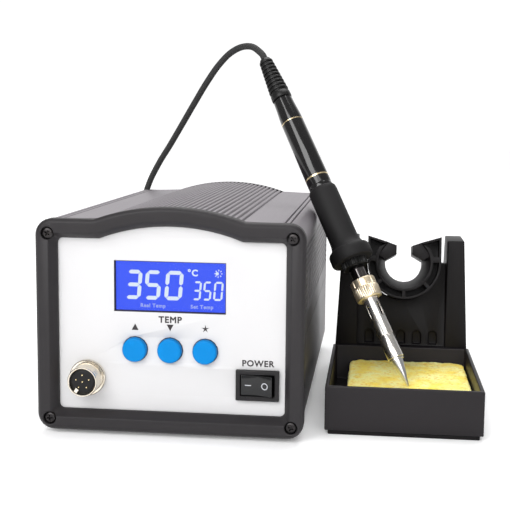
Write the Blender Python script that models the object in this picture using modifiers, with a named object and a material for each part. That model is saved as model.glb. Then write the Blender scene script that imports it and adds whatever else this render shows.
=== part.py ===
"""Soldering station: a bench power unit, an iron on its cord and a weighted stand with a sponge tray.

Bench coordinates: X runs to the right along the unit's front, Y runs back from the bezel's front face and
Z is up from the table. X = 0 is the middle of the unit. The empty `station` carries everything and moves the
whole model so that the world origin is the middle of the table area it covers.
"""

import math

import bmesh
import bpy
from mathutils import Matrix, Vector

MM = 0.001
GAP = 0.3 * MM  # air between neighbouring solids

# ---- power unit ----------------------------------------------------------------------------------
UNIT_WIDTH = 130.0 * MM
UNIT_DEPTH = 190.0 * MM
UNIT_TOP = 105.5 * MM  # flat part of the bezel's top edge
BEZEL_BOTTOM = 2.2 * MM
BEZEL_DEPTH = 6.0 * MM
BEZEL_CORNER = 8.0 * MM
BEZEL_BAND = 9.5 * MM  # border between the outer edge and the window
WINDOW_CORNER = 2.6 * MM
ARCH_HALF_CHORD = 36.5 * MM
ARCH_RISE = 6.5 * MM
CASE_INSET = 0.7 * MM  # the extrusion stands this far inside the bezel's edge
CASE_BOTTOM = 3.0 * MM
CASE_TOP_CORNER = 6.5 * MM
CASE_BOTTOM_CORNER = 9.5 * MM
CASE_WALL = 2.0 * MM
CASE_SPLIT = 50.0 * MM  # height of the joint between the two halves
FIN_PITCH = 2.6 * MM
FIN_DEPTH = 1.1 * MM
FIN_GROOVES = 27
EDGE_GROOVES = (UNIT_WIDTH / 2 - 11.0 * MM, UNIT_WIDTH / 2 - 8.4 * MM)  # from the middle to the paired grooves
EDGE_GROOVE_WIDTH = 0.9 * MM
SIDE_RIB_PITCH = 3.2 * MM
SIDE_RIB_DEPTH = 0.5 * MM
SIDE_RIB_START = 60.0 * MM
PANEL_THICKNESS = 2.0 * MM

# ---- screws --------------------------------------------------------------------------------------
SCREW_SIDE_INSET = 6.1 * MM  # from the screw's axis to the side of the unit
SCREW_TOP_INSET = 7.0 * MM
SCREW_BOTTOM_INSET = 5.7 * MM
SCREW_HEAD_RADIUS = 2.8 * MM
SCREW_HEAD_HEIGHT = 2.0 * MM
SCREW_SHANK_RADIUS = 1.5 * MM
SCREW_LENGTH = 16.0 * MM
SCREW_CHANNEL_WALL = 1.8 * MM
SCREW_STEPS = 16

# ---- front panel fittings ------------------------------------------------------------------------
DISPLAY_CENTRE = (-0.8 * MM, 73.0 * MM)
DISPLAY_SIZE = (54.7 * MM, 25.0 * MM)
DISPLAY_MODULE_SIZE = (64.0 * MM, 34.0 * MM, 8.0 * MM)
DISPLAY_BOARD_SIZE = (66.0 * MM, 66.0 * MM)
LENS_THICKNESS = 1.6 * MM
BUTTON_RADIUS = 5.9 * MM
BUTTON_SPACING = 17.2 * MM
BUTTON_CENTRE = (-0.6 * MM, 42.2 * MM)
BUTTON_PROUD = 3.0 * MM
BUTTON_FLANGE = 1.3 * MM
BUTTON_TRAVEL = 0.8 * MM
BUTTON_CLEARANCE = 0.5 * MM
BUTTON_EDGE = 0.5 * MM
BUTTON_LIP = 1.2 * MM
TACT_SWITCH_SIZE = 6.0 * MM
TACT_SWITCH_EDGE = 0.4 * MM
STEM_RADIUS = 2.0 * MM
STEM_LENGTH = 4.0 * MM
ROCKER_CENTRE = (42.2 * MM, 26.8 * MM)
ROCKER_FRAME = (21.0 * MM, 15.0 * MM)
ROCKER_FLANGE = 2.0 * MM
ROCKER_WALL = 2.2 * MM
ROCKER_BODY_DEPTH = 18.0 * MM
ROCKER_BODY_BACK = 5.0 * MM
ROCKER_PIVOT_DEPTH = 1.6 * MM  # from the frame's face
ROCKER_APEX = 1.0 * MM  # from the pivot to the middle of the rocker's face
ROCKER_KEEL = 5.5 * MM
ROCKER_END_GAP = 0.5 * MM
ROCKER_SWING = math.radians(9.0)
SOCKET_CENTRE = (-41.3 * MM, 27.5 * MM)
SOCKET_FLANGE_RADIUS = 8.8 * MM
SOCKET_FLANGE = 2.2 * MM
SOCKET_RADIUS = 7.4 * MM
SOCKET_WALL = 1.0 * MM
SOCKET_PROUD = 10.0 * MM
SOCKET_BEHIND = 12.0 * MM
SOCKET_NUT_RADIUS = 10.0 * MM
SOCKET_NUT_HEIGHT = 2.5 * MM
PIN_CARRIER_STEP = 1.0 * MM

# ---- rear panel fittings -------------------------------------------------------------------------
INLET_CENTRE = (-30.0 * MM, 32.0 * MM)
INLET_FLANGE = (31.0 * MM, 25.0 * MM, 3.0 * MM)
INLET_CAVITY = (24.0 * MM, 16.0 * MM, 17.0 * MM)
INLET_WALL = 2.0 * MM
FUSE_CENTRE = (6.0 * MM, 32.0 * MM)
FUSE_RADIUS = 6.0 * MM
FUSE_CAP_LENGTH = 9.0 * MM
FUSE_RIM = 1.5 * MM
FUSE_WALL = 1.5 * MM
FUSE_BARREL = 24.0 * MM
FUSE_BORE_END = 20.0 * MM
FUSE_STEM_END = 8.0 * MM
FUSE_KNOB_RIM = 0.8 * MM
FUSE_SLOT = (9.0 * MM, 1.5 * MM, 1.6 * MM)
ROUND_STEPS = 20
GROUND_CENTRE = (36.0 * MM, 32.0 * MM)
GROUND_RADIUS = 5.0 * MM
GROUND_BORE = 2.0 * MM
GROUND_NECK = 4.0 * MM
GROUND_PROUD = 5.0 * MM
GROUND_END = 16.0 * MM
GROUND_BORE_END = 14.0 * MM

# ---- works inside the unit -----------------------------------------------------------------------
FOOT_RADIUS = 6.0 * MM
FOOT_INSET = 20.0 * MM
CORE_SIZE = (62.0 * MM, 34.0 * MM, 52.0 * MM)
CORE_CENTRE = (-22.0 * MM, UNIT_DEPTH - 70.0 * MM)
COIL_SIZE = (34.0 * MM, 52.0 * MM, 34.0 * MM)
BOARD_SIZE = (46.0 * MM, 110.0 * MM, 1.6 * MM)
BOARD_CENTRE = (34.0 * MM, UNIT_DEPTH / 2 + 5.0 * MM)
BOARD_HEIGHT = 14.0 * MM
HEATSINK_SIZE = (8.0 * MM, 60.0 * MM, 34.0 * MM)
CAPACITOR_RADIUS = 8.0 * MM
CAPACITOR_HEIGHT = 26.0 * MM
CAPACITOR_SHIFT = 8.0 * MM
CUT_OVER = 1.0 * MM  # how far a cutter runs past the face it opens

# ---- stand ---------------------------------------------------------------------------------------
STAND_SPACE = 9.05 * MM  # between the unit and the stand
STAND_FRONT = 15.7 * MM
TRAY_WIDTH = 77.3 * MM
STAND_CENTRE_X = (UNIT_WIDTH + TRAY_WIDTH) / 2 + STAND_SPACE
TRAY_DEPTH = 85.5 * MM
TRAY_RIM = 24.7 * MM
TRAY_WALL = 2.2 * MM
TRAY_FLOOR = 5.0 * MM
BASE_INSET = 1.6 * MM
BASE_HEIGHT = 2.2 * MM
TOWER_DEPTH = 58.0 * MM
TOWER_TOP = 86.4 * MM
TOWER_TOP_DEPTH = 24.0 * MM
PILLAR_FOOT = 13.5 * MM
PILLAR_TAPER = 4.2 * MM
WALL_THICKNESS = 4.0 * MM
WALL_TOP = 72.0 * MM
WALL_LEAN = 9.0 * MM
TIP_NICHES = 5
NICHE_PITCH = 9.1 * MM
NICHE_RADIUS = 2.4 * MM
NICHE_DEPTH = 2.4 * MM
NICHE_HEIGHT = 8.5 * MM
NICHE_FOOT = 1.0 * MM
RECESS_DEPTH = 2.0 * MM
SPONGE_SIZE = (64.5 * MM, 79.0 * MM, 11.9 * MM)
SPONGE_SHIFT = 3.4 * MM
SPONGE_CORNER = 6.0 * MM

# ---- iron holder, a C-shaped funnel --------------------------------------------------------------
HOLDER_CENTRE = Vector((STAND_CENTRE_X + 0.6 * MM, 89.5 * MM, 75.3 * MM))
HOLDER_TILT = math.radians(11.0)
HOLDER_RADIUS = 20.4 * MM
HOLDER_LENGTH = 27.0 * MM
HOLDER_BORE_FRONT = 14.6 * MM
HOLDER_BORE_REAR = 10.6 * MM
HOLDER_HORN = 14.6 * MM
HOLDER_SLOT = 8.4 * MM
HOLDER_SLOT_FOOT = 9.7 * MM

# ---- iron, stations measured up its axis from the tip --------------------------------------------
TIP_POINT = Vector((STAND_CENTRE_X + 2.9 * MM, 44.7 * MM, 17.7 * MM))
IRON_LEAN = math.radians(35.5)
IRON_HEADING = math.radians(135.4)
TIP_CONE = 14.6 * MM
TIP_RADIUS = 3.2 * MM
TIP_END_RADIUS = 0.5 * MM
TIP_BORE_START = 22.0 * MM
TIP_SHOULDER = 1.0 * MM
SLEEVE_STAND_OFF = 1.2 * MM
SLEEVE_SLOT = (1.8 * MM, 39.0 * MM, 47.5 * MM)  # width, start and end
SLEEVE_RADIUS = 4.3 * MM
SLEEVE_WALL = 0.7 * MM
SLEEVE_END = 55.7 * MM
SLEEVE_FLANGE_RADIUS = 5.6 * MM
SLEEVE_FLANGE = 1.2 * MM
NUT_START = 50.3 * MM
NUT_END = 61.8 * MM
NUT_RADIUS = 7.2 * MM
NUT_BORE = 6.0 * MM
NUT_LIP = 2.6 * MM
NUT_EDGE = 0.8 * MM
WASHER_THICKNESS = 0.5 * MM
COLLAR_END = 69.2 * MM
COLLAR_RADIUS = 4.4 * MM
COLLAR_THREAD_RADIUS = 5.6 * MM
COLLAR_THREAD_END = 61.4 * MM
HEATER_RADIUS = 1.9 * MM
HEATER_END = 77.8 * MM
HEATER_STEPS = 16
CROWN_END = 75.0 * MM
CROWN_RADIUS = 7.4 * MM
GRIP_FLANGE_START = 73.2 * MM
GRIP_FLANGE_END = 80.8 * MM
GRIP_FLANGE_RADIUS = 11.8 * MM
GRIP_FLANGE_EDGES = (1.0 * MM, 1.2 * MM, 1.5 * MM)
GRIP_END = 119.5 * MM
GRIP_RADIUS = 8.1 * MM
BARREL_END = 180.4 * MM
BARREL_RADIUS = 6.8 * MM
BARREL_TAPER = 0.4 * MM
BARREL_BORE_END = 78.8 * MM
BOOT_END = 210.1 * MM
BOOT_RADII = (6.0 * MM, 3.8 * MM)
BOOT_RIBS = 9
BOOT_RIB_DEPTH = 0.5 * MM
BOOT_RIB_SHARE = 0.45  # of the pitch that the gap between two ribs takes

# ---- cord and plug -------------------------------------------------------------------------------
CORD_RADIUS = 2.0 * MM
CORD_LIFT = 0.2 * MM
CORD_ROUTE = (
    (24.6, 134.4, 194.6), (20.3, 138.6, 198.4), (14.0, 144.5, 199.4), (5.0, 151.5, 195.4),
    (-3.5, 157.5, 187.3), (-12.2, 164.0, 176.4), (-21.5, 171.5, 163.8), (-31.0, 179.5, 150.4),
    (-41.5, 188.0, 135.6), (-51.5, 196.5, 122.3), (-60.0, 204.0, 108.5), (-66.4, 210.2, 92.0),
    (-70.2, 214.6, 72.0), (-71.8, 217.4, 50.0), (-71.6, 219.4, 30.0), (-70.6, 222.4, 13.5),
    (-69.3, 228.0, 4.8), (-68.5, 236.0, 2.9),
)  # millimetres, from the boot to the coil; its ends are moved onto the boot and the coil
CORD_HANGS_FROM = 10  # number of the point from which the route moves with the coil alone
CORD_LEAD_IN = Vector((-4.0, 3.91, 5.61)) * MM  # from the boot's end to the route's first point
COIL_CENTRE = Vector((-38.0 * MM, UNIT_DEPTH + 46.0 * MM, 0.0))
COIL_ENTRY = Vector((-30.5, 0.0, 2.9)) * MM  # the route's last point, from the coil's centre
COIL_MIDDLE_RADIUS = 22.0 * MM
COIL_TURNS_ACROSS = 3
COIL_LAYERS = 2
LEAD_ROUTE = (
    (0.0, 30.4, 2.5), (8.0, 30.3, 2.6), (16.0, 29.6, 3.2), (24.0, 28.4, 4.8), (32.0, 27.3, 7.4),
    (39.0, 26.6, 9.0), (45.4, 26.5, 9.4),
)  # millimetres from the coil's centre, from the coil to the plug
PLUG_TAIL = COIL_CENTRE + Vector((46.0, 26.5, 9.4)) * MM
PLUG_RADIUS = 7.6 * MM
PLUG_LENGTH = 38.0 * MM
PLUG_RING_RADIUS = 9.1 * MM
PLUG_RING_LENGTH = 14.0 * MM
PLUG_NOSE = 4.0 * MM
PLUG_SHELL_START = 6.0 * MM
PLUG_SHELL_STEP = 1.5 * MM
PLUG_TAIL_RADIUS = 4.0 * MM

# ---- places worked out from the sizes above ------------------------------------------------------
HALF_WIDTH = UNIT_WIDTH / 2
CASE_HALF = HALF_WIDTH - CASE_INSET
CASE_TOP = UNIT_TOP - CASE_INSET
PANEL_FRONT = BEZEL_DEPTH + GAP
PANEL_BACK = PANEL_FRONT + PANEL_THICKNESS
CASE_FRONT = PANEL_BACK + GAP
REAR_PANEL_FRONT = UNIT_DEPTH - PANEL_THICKNESS
CASE_BACK = REAR_PANEL_FRONT - GAP
CASE_FLOOR = CASE_BOTTOM + CASE_WALL
SCREW_HOLE = SCREW_SHANK_RADIUS + GAP
SCREW_SPACING_X = UNIT_WIDTH - 2 * SCREW_SIDE_INSET
SCREW_SPACING_Z = UNIT_TOP - SCREW_TOP_INSET - BEZEL_BOTTOM - SCREW_BOTTOM_INSET
SCREW_CENTRE_Z = UNIT_TOP - SCREW_TOP_INSET - SCREW_SPACING_Z / 2
SCREW_PLACES = tuple(
    (sx * SCREW_SPACING_X / 2, SCREW_CENTRE_Z + sz * SCREW_SPACING_Z / 2) for sz in (1, -1) for sx in (-1, 1)
)
REAR_MOST = UNIT_DEPTH + INLET_FLANGE[2] + FUSE_CAP_LENGTH
SOCKET_TIP = PANEL_FRONT - SOCKET_PROUD
TRAY_BACK = STAND_FRONT + TRAY_DEPTH
TOWER_FRONT = TRAY_BACK + GAP
TOWER_BACK = TOWER_FRONT + TOWER_DEPTH
TOWER_FOOT = BASE_HEIGHT + GAP
STAND_HALF = TRAY_WIDTH / 2
STAND_RIGHT = STAND_CENTRE_X + STAND_HALF
CENTRE_X = (STAND_RIGHT - HALF_WIDTH) / 2
CENTRE_Y = (SOCKET_TIP + REAR_MOST) / 2
COIL_BAND = COIL_TURNS_ACROSS * CORD_RADIUS
COIL_HEIGHT = COIL_LAYERS * 2 * CORD_RADIUS


# ---- tools ---------------------------------------------------------------------------------------
def clear_scene():
    """Remove whatever the scene holds, so that only this model is in it."""
    for obj in list(bpy.data.objects):
        bpy.data.objects.remove(obj, do_unlink=True)


def collection(name):
    """Return a new collection, linked to the scene."""
    made = bpy.data.collections.new(name)
    bpy.context.scene.collection.children.link(made)
    return made


def material(name, colour, roughness, metallic=0.0):
    """Return a Principled material in one plain colour."""
    made = bpy.data.materials.new(name)
    made.use_nodes = True
    shader = made.node_tree.nodes["Principled BSDF"]
    shader.inputs["Base Color"].default_value = (*colour, 1.0)
    shader.inputs["Roughness"].default_value = roughness
    shader.inputs["Metallic"].default_value = metallic
    return made


def empty(name, parent, location, rotation=(0.0, 0.0, 0.0)):
    """Return an empty that carries a sub-assembly."""
    made = bpy.data.objects.new(name, None)
    PARTS.objects.link(made)
    made.parent = parent
    made.location = location
    made.rotation_euler = rotation
    return made


def add_object(name, mesh, finish, parent, location=(0.0, 0.0, 0.0), rotation=(0.0, 0.0, 0.0)):
    """Put a mesh or curve in the scene under its parent, or among the cutters when it has no finish."""
    made = bpy.data.objects.new(name, mesh)
    made.parent = parent
    made.location = location
    made.rotation_euler = rotation
    if finish is None:
        CUTTERS.objects.link(made)
        made.hide_render = True
        made.display_type = "WIRE"
    else:
        PARTS.objects.link(made)
        mesh.materials.append(finish)
    return made


def box(name, low, high, finish, parent):
    """Return a box between two corners, both in the parent's coordinates."""
    low, high = Vector(low), Vector(high)
    mesh = bpy.data.meshes.new(name)
    shape = bmesh.new()
    bmesh.ops.create_cube(shape, size=1.0, matrix=Matrix.LocRotScale(Vector(), None, high - low))
    shape.to_mesh(mesh)
    shape.free()
    return add_object(name, mesh, finish, parent, (low + high) / 2)


def centred_box(name, centre, size, low_y, high_y, finish, parent):
    """Return a box centred on an (x, z) point of a panel, between two depths."""
    (x, z), (width, height) = centre, size
    low = (x - width / 2, low_y, z - height / 2)
    high = (x + width / 2, high_y, z + height / 2)
    return box(name, low, high, finish, parent)


def turned(name, profile, finish, parent, location=(0.0, 0.0, 0.0), rotation=(0.0, 0.0, 0.0), steps=24):
    """Return a solid turned about its own Z from (radius, height) points, down the outer side first."""
    mesh = bpy.data.meshes.new(name)
    shape = bmesh.new()
    points = [shape.verts.new((radius, 0.0, height)) for radius, height in profile]
    closed = profile[0][0] > 0 or profile[-1][0] > 0
    for first, second in zip(points, points[1:] + (points[:1] if closed else [])):
        shape.edges.new((first, second))
    shape.to_mesh(mesh)
    shape.free()
    made = add_object(name, mesh, finish, parent, location, rotation)
    screw = made.modifiers.new("turn", "SCREW")
    screw.steps = screw.render_steps = steps
    screw.use_merge_vertices = True
    screw.merge_threshold = 0.01 * MM
    return made


def rod(name, radius, bottom, top, finish, parent, location=(0.0, 0.0, 0.0), rotation=(0.0, 0.0, 0.0),
        steps=24):
    """Return a plain cylinder between two heights on its own Z."""
    profile = [(0.0, top), (radius, top), (radius, bottom), (0.0, bottom)]
    return turned(name, profile, finish, parent, location, rotation, steps)


def tube(name, outer, bore, bottom, top, finish, parent, location=(0.0, 0.0, 0.0), rotation=(0.0, 0.0, 0.0)):
    """Return a straight tube between two heights on its own Z."""
    profile = [(outer, top), (outer, bottom), (bore, bottom), (bore, top)]
    return turned(name, profile, finish, parent, location, rotation)


def panel_rod(name, radius, centre, front, back, finish, parent, steps=24):
    """Return a cylinder that runs back from a panel at an (x, z) point."""
    place = (centre[0], front, centre[1])
    return rod(name, radius, front - back, 0.0, finish, parent, place, FACE_FRONT, steps)


def outline_solid(name, loops, front, back, finish, parent):
    """Return a plate whose (x, z) outline, with any holes after it, runs from one depth to another."""
    curve = bpy.data.curves.new(name, "CURVE")
    curve.dimensions = "2D"
    curve.fill_mode = "BOTH"
    curve.extrude = (back - front) / 2
    for loop in loops:
        spline = curve.splines.new("POLY")
        spline.points.add(len(loop) - 1)
        for point, (x, z) in zip(spline.points, loop):
            point.co = (x, z, 0.0, 1.0)
        spline.use_cyclic_u = True
    flat = bpy.data.objects.new(name, curve)
    PARTS.objects.link(flat)
    mesh = bpy.data.meshes.new_from_object(flat.evaluated_get(bpy.context.evaluated_depsgraph_get()))
    bpy.data.objects.remove(flat)
    shape = bmesh.new()
    shape.from_mesh(mesh)
    bmesh.ops.remove_doubles(shape, verts=shape.verts, dist=0.01 * MM)
    bmesh.ops.rotate(shape, verts=shape.verts, matrix=Matrix.Rotation(math.pi / 2, 3, "X"))
    bmesh.ops.recalc_face_normals(shape, faces=shape.faces)
    shape.to_mesh(mesh)
    shape.free()
    return add_object(name, mesh, finish, parent, (0.0, (front + back) / 2, 0.0))


def boolean(target, operation, *others):
    """Cut the target with, or join it to, each of the other meshes."""
    for other in others:
        step = target.modifiers.new(other.name, "BOOLEAN")
        step.operation = operation
        step.object = other
    return target


def soften(target, width, angle=40.0):
    """Round a solid's sharp edges with one flat."""
    bevel = target.modifiers.new("edges", "BEVEL")
    bevel.width = width
    bevel.segments = 1
    bevel.limit_method = "ANGLE"
    bevel.angle_limit = math.radians(angle)
    return target


def arc(centre_x, centre_z, radius, start, end, parts):
    """Return points on an arc between two angles in degrees, both ends included."""
    angles = [math.radians(start + (end - start) * step / parts) for step in range(parts + 1)]
    return [(centre_x + radius * math.cos(angle), centre_z + radius * math.sin(angle)) for angle in angles]


def circle(centre, radius, parts=16):
    """Return the points of a full circle."""
    return arc(*centre, radius, 0.0, 360.0, parts)[:-1]


def rectangle(centre, size):
    """Return the corners of a rectangle."""
    (x, z), (width, height) = centre, size
    return [(x + sx * width / 2, z + sz * height / 2) for sx, sz in ((-1, -1), (1, -1), (1, 1), (-1, 1))]


# ---- outlines of the unit ------------------------------------------------------------------------
def arch_height(x, spring):
    """Return the height of the arched top at a distance x from the middle."""
    radius = (ARCH_HALF_CHORD**2 + ARCH_RISE**2) / (2 * ARCH_RISE)
    return spring + ARCH_RISE - radius + math.sqrt(radius**2 - min(abs(x), ARCH_HALF_CHORD) ** 2)


def top_edge(spring, parts=16):
    """Return the points of the arched top from right to left, between its spring points."""
    steps = [ARCH_HALF_CHORD * (1 - 2 * step / parts) for step in range(parts + 1)]
    return [(x, arch_height(x, spring)) for x in steps]


def arched_outline(half, bottom, spring, top_corner, bottom_corner, parts=5):
    """Return a rounded rectangle whose top edge carries the shallow arch."""
    points = arc(half - bottom_corner, bottom + bottom_corner, bottom_corner, -90.0, 0.0, parts)
    points += arc(half - top_corner, spring - top_corner, top_corner, 0.0, 90.0, parts)
    points += top_edge(spring)
    points += arc(top_corner - half, spring - top_corner, top_corner, 90.0, 180.0, parts)
    points += arc(bottom_corner - half, bottom + bottom_corner, bottom_corner, 180.0, 270.0, parts)
    return points


def case_outline():
    """Return the outline of the panels that close the case."""
    return arched_outline(CASE_HALF, CASE_BOTTOM, CASE_TOP, CASE_TOP_CORNER, CASE_BOTTOM_CORNER)


def grooved_top():
    """Return the extrusion's top edge from right to left, with its fins and edge grooves."""
    grooves = [(x, EDGE_GROOVE_WIDTH) for x in EDGE_GROOVES]
    first = (FIN_GROOVES - 1) / 2 * FIN_PITCH
    grooves += [(first - index * FIN_PITCH, FIN_PITCH / 2) for index in range(FIN_GROOVES)]
    grooves += [(-x, EDGE_GROOVE_WIDTH) for x in EDGE_GROOVES]
    points = []
    for x, width in sorted(grooves, reverse=True):
        right, left = x + width / 2, x - width / 2
        high_right, high_left = arch_height(right, CASE_TOP), arch_height(left, CASE_TOP)
        points += [(right, high_right), (right, high_right - FIN_DEPTH)]
        points += [(left, high_left - FIN_DEPTH), (left, high_left)]
    return points


def ribbed_side():
    """Return the (depth, height) points of the ribs up one side wall."""
    count = int((CASE_TOP - CASE_TOP_CORNER - SIDE_RIB_START) / SIDE_RIB_PITCH)
    points = []
    for index in range(count):
        low = SIDE_RIB_START + index * SIDE_RIB_PITCH
        high = low + SIDE_RIB_PITCH / 2
        points += [(0.0, low), (SIDE_RIB_DEPTH, low), (SIDE_RIB_DEPTH, high), (0.0, high)]
    return points


def channel_corner(side, height, inner_x, inner_z):
    """Return the inner wall's arc round a screw channel, from the roof or floor round to the side wall."""
    x, z = SCREW_SPACING_X / 2, SCREW_SPACING_Z / 2
    radius = SCREW_HOLE + SCREW_CHANNEL_WALL
    to_wall = math.degrees(math.acos((inner_x - x) / radius))
    to_roof = math.degrees(math.asin((abs(inner_z - SCREW_CENTRE_Z) - z) / radius))
    points = arc(x, z, radius, 180.0 - to_roof, 360.0 - to_wall, 6)
    return [(side * px, SCREW_CENTRE_Z + height * pz) for px, pz in points]


def upper_shell_outline():
    """Return the upper half of the case: sides, finned top and the inner wall with its screw channels."""
    side = ribbed_side()
    corner = CASE_TOP_CORNER
    corner_x, corner_z = CASE_HALF - corner, CASE_TOP - corner
    points = [(CASE_HALF, CASE_SPLIT)] + [(CASE_HALF - depth, height) for depth, height in side]
    points += arc(corner_x, corner_z, corner, 0.0, 90.0, 5)
    points += grooved_top()
    points += arc(-corner_x, corner_z, corner, 90.0, 180.0, 5)
    points += [(depth - CASE_HALF, height) for depth, height in reversed(side)] + [(-CASE_HALF, CASE_SPLIT)]
    inner = CASE_HALF - CASE_WALL - SIDE_RIB_DEPTH
    ceiling = CASE_TOP - CASE_WALL - FIN_DEPTH
    points += [(-inner, CASE_SPLIT)]
    points += reversed(channel_corner(-1, 1, inner, ceiling))
    points += reversed(top_edge(ceiling))
    return points + channel_corner(1, 1, inner, ceiling) + [(inner, CASE_SPLIT)]


def lower_shell_outline():
    """Return the lower half of the case: a tray with rounded corners and screw channels."""
    corner = CASE_BOTTOM_CORNER
    corner_x, corner_z = CASE_HALF - corner, CASE_BOTTOM + corner
    split = CASE_SPLIT - GAP
    points = [(-CASE_HALF, split)] + arc(-corner_x, corner_z, corner, 180.0, 270.0, 5)
    points += arc(corner_x, corner_z, corner, 270.0, 360.0, 5) + [(CASE_HALF, split)]
    inner = CASE_HALF - CASE_WALL - SIDE_RIB_DEPTH
    points += [(inner, split)]
    points += reversed(channel_corner(1, -1, inner, CASE_FLOOR))
    return points + channel_corner(-1, -1, inner, CASE_FLOOR) + [(-inner, split)]


# ---- power unit ----------------------------------------------------------------------------------
def make_case(unit):
    """Build the two halves of the aluminium case, the rear panel and the feet."""
    holes = {place: circle(place, SCREW_HOLE, 12) for place in SCREW_PLACES}
    upper = [holes[place] for place in SCREW_PLACES[:2]]
    lower = [holes[place] for place in SCREW_PLACES[2:]]
    outline_solid("case_upper_shell", [upper_shell_outline()] + upper, CASE_FRONT, CASE_BACK, ALUMINIUM, unit)
    outline_solid("case_lower_shell", [lower_shell_outline()] + lower, CASE_FRONT, CASE_BACK, ALUMINIUM, unit)
    room = 2 * (INLET_WALL + GAP)
    openings = [
        rectangle(INLET_CENTRE, (INLET_CAVITY[0] + room, INLET_CAVITY[1] + room)),
        circle(FUSE_CENTRE, FUSE_RADIUS + GAP),
        circle(GROUND_CENTRE, GROUND_NECK + GAP),
    ]
    outline = case_outline()
    loops = [outline] + list(holes.values()) + openings
    outline_solid("rear_panel", loops, REAR_PANEL_FRONT, UNIT_DEPTH, STEEL_BLACK, unit)
    for number, (sx, y) in enumerate(((-1, 1), (1, 1), (-1, -1), (1, -1)), 1):
        place = (sx * (CASE_HALF - FOOT_INSET), UNIT_DEPTH / 2 - y * (UNIT_DEPTH / 2 - FOOT_INSET), 0.0)
        rod(f"unit_foot_{number}", FOOT_RADIUS, 0.0, CASE_BOTTOM - GAP, RUBBER, unit, place)


def make_front(unit):
    """Build the bezel with its window and the panel behind it."""
    band = BEZEL_BAND
    window = arched_outline(HALF_WIDTH - band, BEZEL_BOTTOM + band, UNIT_TOP - band, WINDOW_CORNER,
                            WINDOW_CORNER, 3)
    outer = arched_outline(HALF_WIDTH, BEZEL_BOTTOM, UNIT_TOP, BEZEL_CORNER, BEZEL_CORNER)
    holes = [circle(place, SCREW_HOLE, 12) for place in SCREW_PLACES]
    bezel = outline_solid("front_bezel", [outer, window] + holes, 0.0, BEZEL_DEPTH, CHARCOAL, unit)
    seat = SCREW_HEAD_HEIGHT + GAP
    wells = [
        panel_rod(f"screw_well_{n}", SCREW_HEAD_RADIUS + GAP, place, -GAP, seat, None, unit, SCREW_STEPS)
        for n, place in enumerate(SCREW_PLACES)
    ]
    boolean(bezel, "DIFFERENCE", *wells)
    x, z = BUTTON_CENTRE
    room = BUTTON_RADIUS + BUTTON_CLEARANCE
    cuts = [circle((x + number * BUTTON_SPACING, z), room) for number in (-1, 0, 1)]
    cuts.append(rectangle(DISPLAY_CENTRE, DISPLAY_SIZE))
    opening = (ROCKER_FRAME[0] - ROCKER_WALL + 2 * GAP, ROCKER_FRAME[1] - ROCKER_WALL + 2 * GAP)
    cuts.append(rectangle(ROCKER_CENTRE, opening))
    cuts.append(circle(SOCKET_CENTRE, SOCKET_RADIUS + GAP))
    outline_solid("front_panel", [case_outline()] + holes + cuts, PANEL_FRONT, PANEL_BACK, OFF_WHITE, unit)


def make_screw(name, place, head_face, direction, parent):
    """Build one screw whose shank runs back from its head: direction is 1 at the front and -1 at the rear."""
    head = SCREW_HEAD_RADIUS
    shank = SCREW_SHANK_RADIUS
    profile = [(0.0, 0.0), (head, 0.0), (head, -SCREW_HEAD_HEIGHT), (shank, -SCREW_HEAD_HEIGHT)]
    profile += [(shank, -SCREW_LENGTH), (0.0, -SCREW_LENGTH)]
    turn = FACE_FRONT if direction > 0 else FACE_BACK
    turned(name, profile, STEEL_BLACK, parent, (place[0], head_face, place[1]), turn, SCREW_STEPS)


def make_screws(unit):
    """Build the four bezel screws and the four rear screws."""
    for number, place in enumerate(SCREW_PLACES, 1):
        make_screw(f"bezel_screw_{number}", place, 0.0, 1, unit)
        make_screw(f"rear_screw_{number}", place, UNIT_DEPTH + GAP + SCREW_HEAD_HEIGHT, -1, unit)


def make_display(unit):
    """Build the lens, the display module and the board that carries it."""
    size = (DISPLAY_SIZE[0] - 2 * GAP, DISPLAY_SIZE[1] - 2 * GAP)
    lens_front = PANEL_FRONT + GAP
    centred_box("display_lens", DISPLAY_CENTRE, size, lens_front, lens_front + LENS_THICKNESS, LENS, unit)
    module_front = PANEL_BACK + GAP
    width, height, depth = DISPLAY_MODULE_SIZE
    centred_box("display_module", DISPLAY_CENTRE, (width, height), module_front, module_front + depth,
                BLUE_GLOW, unit)
    board = rectangle((DISPLAY_CENTRE[0], (DISPLAY_CENTRE[1] + BUTTON_CENTRE[1]) / 2), DISPLAY_BOARD_SIZE)
    outline_solid("display_board", [board], BOARD_FACE, BOARD_FACE + BOARD_SIZE[2], GREEN, unit)


def make_buttons(unit):
    """Build the three push buttons and the small switches behind them."""
    back = PANEL_BACK + GAP
    stem_end = back + BUTTON_FLANGE + STEM_LENGTH
    for number, name in zip((-1, 0, 1), ("up", "down", "set")):
        place = (BUTTON_CENTRE[0] + number * BUTTON_SPACING, PANEL_FRONT - BUTTON_PROUD, BUTTON_CENTRE[1])
        top = BUTTON_RADIUS
        depths = [PANEL_FRONT - BUTTON_PROUD - depth for depth in (back, back + BUTTON_FLANGE, stem_end)]
        profile = [(0.0, 0.0), (top - BUTTON_EDGE, 0.0), (top, -BUTTON_EDGE), (top, depths[0])]
        profile += [(top + BUTTON_LIP, depths[0]), (top + BUTTON_LIP, depths[1]), (STEM_RADIUS, depths[1])]
        profile += [(STEM_RADIUS, depths[2]), (0.0, depths[2])]
        turned(f"button_{name}", profile, BLUE, unit, place, FACE_FRONT)
        switch_front = stem_end + BUTTON_TRAVEL + GAP
        size = (TACT_SWITCH_SIZE, TACT_SWITCH_SIZE)
        switch = centred_box(f"tact_switch_{name}", (place[0], place[2]), size, switch_front,
                             BOARD_FACE - GAP, BLACK, unit)
        soften(switch, TACT_SWITCH_EDGE)


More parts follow.
